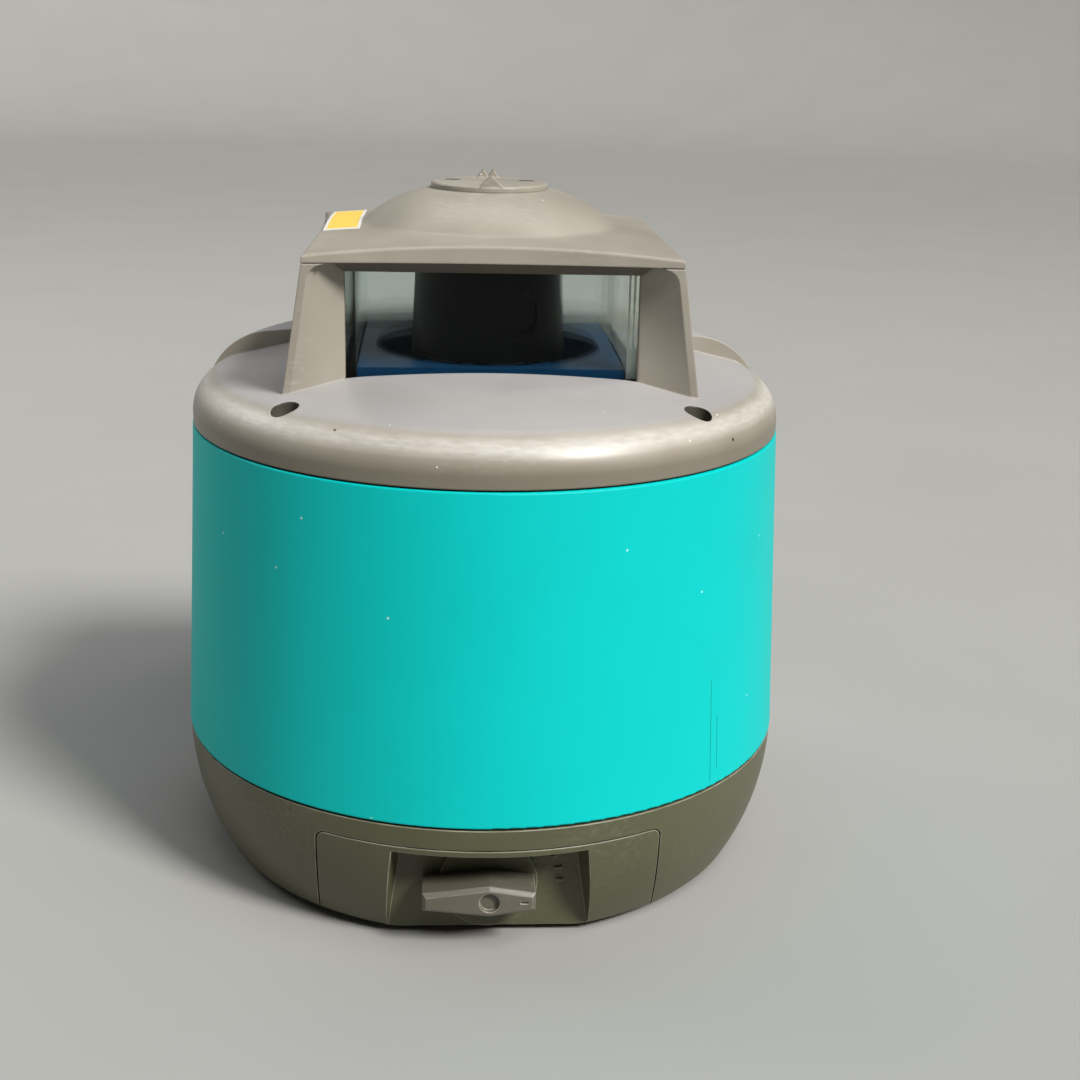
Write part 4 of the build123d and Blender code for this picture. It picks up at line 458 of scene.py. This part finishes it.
def brown_plastic(name, deep, pale, roughness, scuffs, rub):
    """Brown moulded plastic with scuffs, specks and pale edges that are partly rubbed and partly a painted
    highlight, and what a further coat of it needs.
    """
    material, tree, shader, place = new_finish(name)
    rounded, edges = edge_wear(tree, BROWN_EDGE)
    patchy = cloud(tree, place, 20.0, 3.0)
    tone = mixed(tree, spread(tree, patchy, 0.35, 0.65), deep, pale)
    strokes = spread(tree, cloud(tree, place, 300.0, 6.0, stretch=(1, 3, 3)), 0.5, 0.8)
    where = spread(tree, cloud(tree, place, 24.0, 3.0), 0.5, 0.75, 0.0, scuffs)
    scuff = combine(tree, "MULTIPLY", strokes, where)
    tone = mixed(tree, scuff, tone, paint(214, 210, 202))
    # Pale edges: partly real rubbing, partly a painted highlight where the edges catch the light.
    uneven = spread(tree, cloud(tree, place, 160.0, 4.0), 0.3, 0.7, rub / 3, rub)
    worn_and_highlit_edges = combine(tree, "MULTIPLY", edges, uneven)
    tone = mixed(tree, worn_and_highlit_edges, tone, paint(196, 190, 172))
    lines = hairlines(tree, place, stretch=(1, 30, 30), turn=(0, 0.2, 0.7), patches=35.0)
    scratch = combine(tree, "MULTIPLY", lines, scuffs)
    tone = mixed(tree, scratch, tone, paint(205, 198, 186))
    white = flecks(tree, place, per_metre=120.0, size=0.040, share=0.9)
    white = combine(tree, "MULTIPLY", white, min(1.0, 2 * scuffs))
    tone = mixed(tree, white, tone, paint(236, 234, 228))
    rough = spread(tree, combine(tree, "ADD", patchy, scuff), 0.3, 0.8, roughness - 0.04, roughness + 0.06)
    fine = combine(tree, "ADD", cloud(tree, place, 1700.0, 2.0), combine(tree, "MULTIPLY", scratch, -0.6))
    normal = grain(tree, fine, 0.05, 0.0002, rounded)
    set_shader(tree, shader, Base_Color=tone, Roughness=rough, Normal=normal)
    return material, tree, shader, tone, place


BROWN_EDGE = 0.0006
# The base is the cover's plastic painted darker and greener: painted shade under the body and a painted green
# bounce of light from the ground.
BASE_SHADED_DEEP = paint(79, 79, 56)
BASE_SHADED_PALE = paint(84, 84, 61)

base_coat = brown_plastic("base_plastic_finish", BASE_SHADED_DEEP, BASE_SHADED_PALE, roughness=0.42, scuffs=0.12, rub=0.9)
base_plastic = base_coat[0]
dress(base_plastic, "base_housing")


# Battery drawer: a black tray with three round cells between spring-steel contact plates, screwed to the
# brown door. Two brass blades on the base meet its rear contacts. The cells have plain sleeves.

def black_plastic():
    """Black moulded plastic, lightly grained and rubbed on its edges."""
    material, tree, shader, place = new_finish("black_plastic_finish")
    rounded, edges = edge_wear(tree, BLACK_EDGE)
    patchy = cloud(tree, place, 60.0, 5.0)
    tone = mixed(tree, spread(tree, patchy, 0.4, 0.7), paint(22, 22, 23), paint(33, 33, 34))
    tone = mixed(tree, combine(tree, "MULTIPLY", edges, 0.25), tone, paint(70, 70, 70))
    normal = grain(tree, cloud(tree, place, 1900.0), 0.1, 0.0002, rounded)
    rough = spread(tree, patchy, 0.3, 0.7, 0.38, 0.55)
    set_shader(tree, shader, Base_Color=tone, Roughness=rough, Normal=normal)
    return material


def contact_brass():
    """Brass sheet with a tarnished film."""
    material, tree, shader, place = new_finish("contact_brass_finish")
    film = spread(tree, cloud(tree, place, 220.0, 5.0), 0.4, 0.7)
    tone = mixed(tree, film, paint(204, 172, 96), paint(150, 118, 62))
    set_shader(tree, shader, Base_Color=tone, Metallic=1.0, Roughness=spread(tree, film, 0, 1, 0.22, 0.5))
    return material


def cell_sleeve():
    """Blue-grey plastic sleeve with a pale stripe."""
    material, tree, shader, place = new_finish("cell_sleeve_finish")
    along = add_node(tree, "ShaderNodeSeparateXYZ", {"Vector": place}).outputs["Y"]
    stripe = combine(tree, "MULTIPLY", combine(tree, "GREATER_THAN", along, STRIPE_FRONT),
                     combine(tree, "LESS_THAN", along, STRIPE_BACK))
    film = cloud(tree, place, 120.0, 3.0)
    sleeve = mixed(tree, film, paint(46, 58, 78), paint(58, 70, 92))
    tone = mixed(tree, stripe, sleeve, paint(206, 208, 210))
    rough = spread(tree, film, 0.3, 0.7, 0.22, 0.34)
    set_shader(tree, shader, Base_Color=tone, Roughness=rough, Coat_Weight=0.3)
    return material


BLACK_EDGE = 0.0005
STRIPE_FRONT = -0.050
STRIPE_BACK = -0.046

black = black_plastic()
dress(black, "battery_tray")
dress(contact_brass(), "contact_blades")
dress(cell_sleeve(), "battery_cells")
dress(steel, "tray_contacts", "door_screws")
dress(base_plastic, "battery_door")


# Latch: a round plate on the recess floor, a long knob with a thumb dimple, and a steel cam behind the
# door. Small ticks stand on the recess floor from the knob's locked place towards its open place.

def tick_tree(material):
    """Upright row of small blocks along an arc, each pointing to the arc's middle."""
    names = ["Radius", "Start", "Sweep", "Count", "Length", "Width", "Height"]
    tree, sizes, end = size_tree("latch_ticks", names)
    inputs = {"Resolution": sizes["Count"], "Radius": sizes["Radius"], "Start Angle": sizes["Start"],
              "Sweep Angle": sizes["Sweep"]}
    arc = add_node(tree, "GeometryNodeCurveArc", inputs).outputs["Curve"]
    points = add_node(tree, "GeometryNodeCurveToPoints", {"Curve": arc, "Count": sizes["Count"]})
    inputs = {"X": sizes["Length"], "Y": sizes["Height"], "Z": sizes["Width"]}
    size = add_node(tree, "ShaderNodeCombineXYZ", inputs).outputs["Vector"]
    block = add_node(tree, "GeometryNodeMeshCube", {"Size": size}).outputs["Mesh"]
    inputs = {"Points": points.outputs["Points"], "Instance": block, "Rotation": points.outputs["Rotation"]}
    ticks = add_node(tree, "GeometryNodeInstanceOnPoints", inputs).outputs["Instances"]
    close_tree(tree, end, ticks, material)
    return tree


TICK_RADIUS = 0.0196
TICK_SWEEP = radians(33)
TICK_COUNT = 4
TICK_LENGTH = 0.0022
TICK_WIDTH = 0.0007
TICK_HEIGHT = 0.0010
RECESS_FLOOR = -0.074
LATCH_AXIS = 0.016
KNOB_DEEP = paint(88, 84, 73)
KNOB_PALE = paint(94, 90, 79)

# The knob's strong edge brightening is partly a painted highlight along its upper edges.
knob_coat = brown_plastic("knob_plastic_finish", KNOB_DEEP, KNOB_PALE, roughness=0.3, scuffs=0.2, rub=0.9)
dress(knob_coat[0], "latch_knob")
dress(base_plastic, "latch_plate")
dress(steel, "latch_cam")
ticks = grow("latch_ticks", tick_tree(base_plastic), {
    "Radius": TICK_RADIUS, "Start": 0.0, "Sweep": TICK_SWEEP, "Count": float(TICK_COUNT),
    "Length": TICK_LENGTH, "Width": TICK_WIDTH, "Height": TICK_HEIGHT})
to_recess = Matrix.Translation((0, RECESS_FLOOR, LATCH_AXIS)) @ Matrix.Rotation(pi / 2, 4, "X")
ticks.data.transform(to_recess)
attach(ticks, "battery_drawer")


# Chassis and levelling drives: a cast light-alloy plate on four posts of the base, two geared motors with
# steel lead screws and guide rods, and white plastic nuts that tilt the laser tube.

def motor_steel():
    """Dark plated motor cans."""
    material, tree, shader, place = new_finish("motor_steel_finish")
    film = cloud(tree, place, 240.0, 4.0)
    tone = mixed(tree, film, paint(112, 113, 116), paint(136, 136, 136))
    set_shader(tree, shader, Base_Color=tone, Metallic=1.0, Roughness=spread(tree, film, 0.3, 0.7, 0.3, 0.5))
    return material


def nut_plastic():
    """Milky white plastic of the nuts and pulleys."""
    material, tree, shader, place = new_finish("nut_plastic_finish")
    film = cloud(tree, place, 150.0, 3.0)
    tone = mixed(tree, film, paint(218, 215, 205), paint(232, 229, 220))
    set_shader(tree, shader, Base_Color=tone, Roughness=spread(tree, film, 0.3, 0.7, 0.32, 0.5),
               Subsurface_Weight=0.15)
    return material


can_steel = motor_steel()
white_plastic = nut_plastic()
dress(alloy, "chassis_plate", "carrier_posts")
dress(steel, "chassis_screws", "pitch_screw", "roll_screw")
dress(can_steel, "pitch_motor", "roll_motor")
dress(white_plastic, "pitch_nut", "roll_nut")


# Main board: green glass-fibre laminate that stands in slotted feet of the chassis, with black chips on it.
# The panel board behind the operator's keys is of the same sheet.

def board_laminate():
    """Green laminate with copper tracks under the lacquer and tinned pads."""
    material, tree, shader, place = new_finish("board_laminate_finish")
    inputs = {"Vector": place, "Scale": 260.0}
    cells = add_node(tree, "ShaderNodeTexVoronoi", inputs, distance="CHEBYCHEV", feature="F1")
    track = spread(tree, cells.outputs["Distance"], 0.42, 0.46)
    tone = mixed(tree, track, paint(16, 74, 44), paint(30, 100, 60))
    pads = flecks(tree, place, per_metre=420.0, size=0.25, share=0.35)
    tone = mixed(tree, pads, tone, paint(190, 170, 110))
    set_shader(tree, shader, Base_Color=tone, Roughness=spread(tree, track, 0, 1, 0.3, 0.42), Coat_Weight=0.2)
    return material


laminate = board_laminate()
dress(laminate, "main_board", "panel_board")


# Gimbal and laser tube: light-alloy rings on hardened steel pins, a machined tube with a diode module at
# its foot, a collimating lens, two level vials, two bearings and the small belt drive of the turret.

def optical_glass(name, tint, film):
    """Clear polished glass with a thin coating in nanometres and faint dust."""
    material, tree, shader, place = new_finish(name)
    dust = spread(tree, cloud(tree, place, 300.0, 5.0), 0.5, 0.85, 0.0, 0.06)
    set_shader(tree, shader, Base_Color=tint, Roughness=dust, Transmission_Weight=1.0, IOR=1.52,
               Thin_Film_Thickness=film, Thin_Film_IOR=1.38)
    return material


LENS_TINT = (0.94, 0.98, 0.97, 1.0)
LENS_FILM = 130.0
VIAL_TINT = (0.70, 0.93, 0.45, 1.0)

lens_glass = optical_glass("optical_glass_finish", LENS_TINT, LENS_FILM)
vial_glass = optical_glass("vial_glass_finish", VIAL_TINT, film=0.0)
dress(alloy, "gimbal_carrier", "gimbal_ring", "laser_tube", "laser_module")
dress(steel, "outer_pivot_pins", "inner_pivot_pins", "spindle_bearings", "spindle")
dress(lens_glass, "collimating_lens", "pentaprism")
dress(vial_glass, "level_vials")
dress(can_steel, "spin_motor")
dress(white_plastic, "motor_pulley")
dress(rubber, "drive_belt")


# Body band: one teal moulded shell, a plain taper clamped between base and cover. The colour has gone
# slightly uneven in the sun, and there are two upright scratches and a few dark and pale specks.

def teal_plastic():
    """Teal moulded plastic with a satin skin, specks and two upright scratches on its right side."""
    material, tree, shader, place = new_finish("teal_plastic_finish")
    rounded = edge_wear(tree, TEAL_EDGE)[0]
    patchy = cloud(tree, place, 12.0, 3.0)
    tone = mixed(tree, spread(tree, patchy, 0.3, 0.7), paint(0, 184, 180), paint(0, 190, 187))
    rub = spread(tree, cloud(tree, place, 55.0, 7.0), 0.58, 0.8, 0.0, 0.12)
    tone = mixed(tree, rub, tone, paint(6, 160, 148))
    parts = add_node(tree, "ShaderNodeSeparateXYZ", {"Vector": place}).outputs
    around = combine(tree, "ARCTAN2", parts["X"], combine(tree, "MULTIPLY", parts["Y"], -1.0))
    wavy = spread(tree, cloud(tree, place, 60.0, 2.0), 0.0, 1.0, -SCRATCH_WAVE, SCRATCH_WAVE)
    for angle, low, high in SCRATCHES:
        bent = combine(tree, "ADD", combine(tree, "SUBTRACT", around, angle), wavy)
        off = combine(tree, "ABSOLUTE", bent, 0.0)
        line = spread(tree, off, SCRATCH_HALF, SCRATCH_HALF * 0.5, 0.0, 0.7)
        line = combine(tree, "MULTIPLY", line, combine(tree, "GREATER_THAN", parts["Z"], low))
        line = combine(tree, "MULTIPLY", line, combine(tree, "LESS_THAN", parts["Z"], high))
        tone = mixed(tree, line, tone, paint(8, 96, 92))
    dark = flecks(tree, place, per_metre=61.0, size=0.030, share=0.5)
    tone = mixed(tree, combine(tree, "MULTIPLY", dark, 0.7), tone, paint(8, 84, 80))
    white = flecks(tree, place, per_metre=95.0, size=0.040, share=0.7)
    tone = mixed(tree, combine(tree, "MULTIPLY", white, 0.8), tone, paint(196, 236, 231))
    rough = spread(tree, patchy, 0.3, 0.7, 0.46, 0.54)
    normal = grain(tree, cloud(tree, place, 1500.0, 2.0), 0.05, 0.0002, rounded)
    set_shader(tree, shader, Base_Color=tone, Roughness=rough, Specular_IOR_Level=0.14, Normal=normal)
    return material


TEAL_EDGE = 0.0005
SCRATCHES = [(radians(43.5), 0.041, 0.071), (radians(45.4), 0.044, 0.060)]
SCRATCH_HALF = 0.0022
SCRATCH_WAVE = 0.004

dress(teal_plastic(), "body_band")


# Top cover: brown shoulder with the four pillars of the lantern and the raised console, held down by four
# long steel bolts in deep holes. Its upper side carries a painted sheen over some bleaching, the shoulder a
# painted highlight, and the wall below the shoulder and the bolt wells painted shade.

def spot(tree, place, centre, radius):
    """Share that is one in a small ball round a point."""
    gap = add_node(tree, "ShaderNodeVectorMath", {0: place, 1: centre}, operation="DISTANCE").outputs["Value"]
    return spread(tree, gap, radius, radius * 0.6)


def cover_plastic():
    """The brown plastic: painted sheen on the crown, painted highlight on the shoulder, painted shade on the
    lower wall and in the bolt wells, single marks.
    """
    coat = brown_plastic("cover_plastic_finish", COVER_DEEP, COVER_PALE, roughness=0.38, scuffs=0.5, rub=0.5)
    material, tree, shader, tone, place = coat
    upward = upward_facing(tree)
    # Painted sheen: upward faces turn paler and bluish, standing for light from above over some sun
    # bleaching.
    tone = mixed(tree, spread(tree, upward, 0.86, 0.998, 0.0, 0.6), tone, paint(170, 170, 177))
    # Painted highlight: a pale streaky band on the shoulder's round, where the light from above and in front
    # is reflected.
    shoulder_highlight = combine(tree, "MULTIPLY", spread(tree, upward, 0.40, 0.60), spread(tree, upward, 0.90, 0.75))
    streaks = spread(tree, cloud(tree, place, 260.0, 6.0, stretch=(1, 1, 5)), 0.3, 0.7, 0.3, 0.6)
    tone = mixed(tree, combine(tree, "MULTIPLY", shoulder_highlight, streaks), tone, paint(208, 203, 197))
    # Painted shade: the wall below the shoulder is painted darker towards its foot.
    height = add_node(tree, "ShaderNodeSeparateXYZ", {"Vector": place}).outputs["Z"]
    tone = mixed(tree, spread(tree, height, WALL_TOP, WALL_LOW, 0.0, 0.75), tone, paint(106, 100, 86))
    for centre, radius, colour in COVER_MARKS:
        tone = mixed(tree, spot(tree, place, centre, radius), tone, colour)
    # Painted shade in the four bolt wells: dark brown inside a small radius round each hole.
    inputs = {0: place, 1: (1, 1, 0)}
    flat = add_node(tree, "ShaderNodeVectorMath", inputs, operation="MULTIPLY").outputs["Vector"]
    corner = add_node(tree, "ShaderNodeVectorMath", {0: flat}, operation="ABSOLUTE").outputs["Vector"]
    inputs = {0: corner, 1: WELL_PLACE}
    gap = add_node(tree, "ShaderNodeVectorMath", inputs, operation="DISTANCE").outputs["Value"]
    well_shade = spread(tree, gap, WELL_SHADE_EDGE, WELL_SHADE_FULL, 0.0, 0.85)
    tone = mixed(tree, well_shade, tone, paint(44, 41, 34))
    set_shader(tree, shader, Base_Color=tone)
    return material


COVER_DEEP = paint(142, 135, 122)
COVER_PALE = paint(162, 156, 144)
WALL_TOP = 0.1380
WALL_LOW = 0.1340
WELL_PLACE = (0.0544, 0.0548, 0.0)
WELL_SHADE_FULL = 0.00373
WELL_SHADE_EDGE = 0.00378
COVER_MARKS = [
    ((0.0640, -0.0555, 0.1367), 0.0006, paint(46, 40, 34)),
    ((0.0507, -0.0666, 0.1390), 0.0003, paint(226, 222, 214)),
    ((-0.0266, -0.0726, 0.1439), 0.00025, paint(228, 224, 216)),
    ((-0.0726, -0.0435, 0.1371), 0.00025, paint(228, 224, 216)),
    ((-0.0147, -0.0837, 0.1360), 0.00025, paint(228, 224, 216)),
    ((-0.0405, -0.0703, 0.1419), 0.0005, paint(84, 76, 64)),
]

dress(cover_plastic(), "top_cover")
dress(steel, "tie_bolts")


# Lantern: a dark blue deck with the hole for the turret, four panes of coated glass with milky glue in the
# front right corner, and a dark turret that carries the prism and a coated round window.

def deck_finish():
    """Dark blue satin deck with a little dust."""
    material, tree, shader, place = new_finish("deck_finish")
    dust = spread(tree, cloud(tree, place, 120.0, 6.0), 0.5, 0.8, 0.0, 0.4)
    tone = mixed(tree, dust, paint(8, 56, 94), paint(20, 66, 102))
    set_shader(tree, shader, Base_Color=tone, Roughness=spread(tree, dust, 0, 1, 0.3, 0.45),
               Specular_IOR_Level=0.12)
    return material


def window_glass():
    """Clear greenish pane, coated against reflections, with faint wiping marks."""
    material, tree, shader, place = new_finish("window_glass_finish")
    smear = cloud(tree, place, 35.0, 5.0, stretch=(1, 1, 4))
    tint = mixed(tree, smear, (0.66, 0.78, 0.74, 1.0), (0.70, 0.82, 0.78, 1.0))
    set_shader(tree, shader, Base_Color=tint, Roughness=0.0, Transmission_Weight=1.0, IOR=1.22, Alpha=0.5)
    return material


def turret_plastic():
    """Near black satin turret."""
    material, tree, shader, place = new_finish("turret_plastic_finish")
    patchy = cloud(tree, place, 60.0, 3.0)
    tone = mixed(tree, patchy, paint(2, 9, 7), paint(3, 8, 12))
    set_shader(tree, shader, Base_Color=tone, Roughness=spread(tree, patchy, 0.3, 0.7, 0.36, 0.44),
               Specular_IOR_Level=0.15)
    return material


def aperture_glass():
    """Dark coated filter glass with a faint violet film."""
    material, tree, shader, place = new_finish("aperture_glass_finish")
    film = cloud(tree, place, 200.0, 2.0)
    tone = mixed(tree, film, paint(8, 6, 13), paint(12, 8, 17))
    set_shader(tree, shader, Base_Color=tone, Roughness=spread(tree, film, 0.3, 0.7, 0.3, 0.36),
               Specular_IOR_Level=0.12)
    return material


def glue_tree(material):
    """Glue on one end of a side pane: a patch at the foot and three upright lines above it."""
    names = ["Across", "Along", "Foot", "Patch", "Head", "Width", "Film", "Line"]
    tree, sizes, end = size_tree("corner_glue", names)
    patch = upright_box(tree, sizes["Width"], sizes["Film"], sizes["Foot"], sizes["Patch"])
    line = upright_box(tree, sizes["Line"], sizes["Film"], sizes["Patch"], sizes["Head"])
    pitch = combine(tree, "MULTIPLY", combine(tree, "SUBTRACT", sizes["Width"], sizes["Line"]), 0.5)
    back = combine(tree, "MULTIPLY", pitch, -1.0)
    first = add_node(tree, "ShaderNodeCombineXYZ", {"X": back}).outputs["Vector"]
    step = add_node(tree, "ShaderNodeCombineXYZ", {"X": pitch}).outputs["Vector"]
    inputs = {"Count": GLUE_LINES, "Start Location": first, "Offset": step}
    row = add_node(tree, "GeometryNodeMeshLine", inputs).outputs["Mesh"]
    inputs = {"Points": row, "Instance": line}
    lines = add_node(tree, "GeometryNodeInstanceOnPoints", inputs).outputs["Instances"]
    both = add_node(tree, "GeometryNodeJoinGeometry")
    tree.links.new(patch, both.inputs["Geometry"])
    tree.links.new(lines, both.inputs["Geometry"])
    corner = add_node(tree, "ShaderNodeCombineXYZ", {"X": sizes["Across"], "Y": sizes["Along"]})
    inputs = {"Geometry": both.outputs["Geometry"], "Translation": corner.outputs["Vector"]}
    placed = add_node(tree, "GeometryNodeTransform", inputs).outputs["Geometry"]
    close_tree(tree, end, placed, material)
    return tree


def milky_glue():
    """Aged clear glue, cloudy and slightly yellow."""
    material, tree, shader, place = new_finish("milky_glue_finish")
    cloudy = cloud(tree, place, 260.0, 4.0)
    tone = mixed(tree, cloudy, paint(214, 218, 214), paint(238, 240, 236))
    set_shader(tree, shader, Base_Color=tone, Roughness=spread(tree, cloudy, 0.3, 0.7, 0.3, 0.5))
    return material


GLUE_ACROSS = 0.03845
GLUE_ALONG = -0.036625
GLUE_FOOT = 0.1489
GLUE_PATCH = 0.1575
GLUE_HEAD = 0.1776
GLUE_WIDTH = 0.0033
GLUE_FILM = 0.0001
GLUE_LINE = 0.00055
GLUE_LINES = 3

dress(deck_finish(), "lantern_base")
dress(window_glass(), "window_front", "window_back", "window_right", "window_left")
dress(turret_plastic(), "turret_shell")
dress(aperture_glass(), "aperture_lens")
glue = grow("corner_glue", glue_tree(milky_glue()), {
    "Across": GLUE_ACROSS, "Along": GLUE_ALONG, "Foot": GLUE_FOOT, "Patch": GLUE_PATCH, "Head": GLUE_HEAD,
    "Width": GLUE_WIDTH, "Film": GLUE_FILM, "Line": GLUE_LINE})
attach(glue, "housing")


# Roof: the brown cap with its dome, and the sight disc screwed on top for aiming the level by eye. A blank
# yellow paper label with a white margin is stuck to the left edge.

def roof_plastic():
    """The brown plastic, with painted shade on its downward faces."""
    coat = brown_plastic("roof_plastic_finish", ROOF_DEEP, ROOF_PALE, roughness=0.40, scuffs=0.35, rub=0.5)
    material, tree, shader, tone, place = coat
    upward = upward_facing(tree)
    # Painted shade: faces that turn downwards are painted dark brown.
    tone = mixed(tree, spread(tree, upward, -0.2, -0.6, 0.0, 0.85), tone, paint(74, 66, 54))
    set_shader(tree, shader, Base_Color=tone)
    return material


def label_paper():
    """Yellow paper label with a white margin."""
    material, tree, shader, place = new_finish("label_paper_finish")
    sheet = add_node(tree, "ShaderNodeUVMap", uv_map="UVMap").outputs["UV"]
    parts = add_node(tree, "ShaderNodeSeparateXYZ", {"Vector": sheet})
    across = combine(tree, "ABSOLUTE", combine(tree, "SUBTRACT", parts.outputs["X"], 0.5), 0.0)
    along = combine(tree, "ABSOLUTE", combine(tree, "SUBTRACT", parts.outputs["Y"], 0.5), 0.0)
    margin = combine(tree, "MAXIMUM", combine(tree, "GREATER_THAN", across, MARGIN_ACROSS),
                     combine(tree, "GREATER_THAN", along, MARGIN_ALONG))
    fibre = cloud(tree, place, 900.0, 4.0)
    yellow = mixed(tree, fibre, paint(218, 184, 72), paint(228, 196, 88))
    tone = mixed(tree, margin, yellow, paint(208, 206, 198))
    set_shader(tree, shader, Base_Color=tone, Roughness=spread(tree, fibre, 0.3, 0.7, 0.5, 0.65))
    return material


def roof_label(material):
    """Thin sheet laid on the roof, point by point."""
    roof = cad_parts["roof_cap"].data
    surface = BVHTree.FromPolygons([v.co for v in roof.vertices], [p.vertices for p in roof.polygons])
    shape = bmesh.new()
    sheet = shape.loops.layers.uv.new("UVMap")
    rows = []
    for j in range(LABEL_ROWS + 1):
        row = []
        for i in range(LABEL_COLUMNS + 1):
            x = LABEL_LEFT + (LABEL_RIGHT - LABEL_LEFT) * i / LABEL_COLUMNS
            y = LABEL_FRONT + (LABEL_BACK - LABEL_FRONT) * j / LABEL_ROWS
            point = surface.ray_cast(Vector((x, y, LABEL_ABOVE)), Vector((0, 0, -1)))[0]
            row.append(shape.verts.new(point + Vector((0, 0, LABEL_LIFT))))
        rows.append(row)
    for j in range(LABEL_ROWS):
        for i in range(LABEL_COLUMNS):
            face = shape.faces.new((rows[j][i], rows[j][i + 1], rows[j + 1][i + 1], rows[j + 1][i]))
            ends = [(i, j), (i + 1, j), (i + 1, j + 1), (i, j + 1)]
            for loop, (column, line) in zip(face.loops, ends):
                loop[sheet].uv = (column / LABEL_COLUMNS, line / LABEL_ROWS)
    mesh = bpy.data.meshes.new("roof_label")
    shape.to_mesh(mesh)
    shape.free()
    mesh.materials.append(material)
    label = new_object("roof_label", mesh)
    thick = label.modifiers.new("paper", "SOLIDIFY")
    thick.thickness = LABEL_PAPER
    thick.offset = 1.0
    return label


ROOF_DEEP = paint(134, 127, 115)
ROOF_PALE = paint(158, 152, 140)
LABEL_LEFT = -0.0462
LABEL_RIGHT = -0.0362
LABEL_FRONT = -0.0185
LABEL_BACK = 0.0360
LABEL_ABOVE = 1.0
LABEL_LIFT = 0.00005
LABEL_PAPER = 0.00012
MARGIN_ACROSS = 0.42
MARGIN_ALONG = 0.455
LABEL_COLUMNS = 8
LABEL_ROWS = 30

dress(roof_plastic(), "roof_cap", "sight_disc")
dress(steel, "sight_screws")
label = roof_label(label_paper())
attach(label, "housing")


# Operator panel: a black plate on the sloping facet of the rear console, with three rubber keys and a small
# red lamp over each key. It faces away from the camera, and the keys are plain.

def key_rubber():
    """Grey silicone rubber of the keys."""
    material, tree, shader, place = new_finish("key_rubber_finish")
    rounded = edge_wear(tree, KEY_EDGE)[0]
    bloom = cloud(tree, place, 180.0, 5.0)
    tone = mixed(tree, bloom, paint(58, 60, 62), paint(72, 74, 75))
    set_shader(tree, shader, Base_Color=tone, Roughness=spread(tree, bloom, 0.3, 0.7, 0.55, 0.7),
               Normal=grain(tree, cloud(tree, place, 2200.0), 0.12, 0.0002, rounded))
    return material


def lamp_plastic():
    """Clear red plastic of the lamps."""
    material, tree, shader, place = new_finish("lamp_plastic_finish")
    cloudy = cloud(tree, place, 500.0, 3.0)
    tone = mixed(tree, cloudy, paint(190, 40, 30), paint(214, 60, 44))
    set_shader(tree, shader, Base_Color=tone, Roughness=spread(tree, cloudy, 0.3, 0.7, 0.08, 0.2),
               Transmission_Weight=0.6, IOR=1.49)
    return material


KEY_EDGE = 0.0006

dress(black, "control_panel")
dress(key_rubber(), "power_button", "speed_button", "alert_button")
dress(lamp_plastic(), "indicator_lenses")
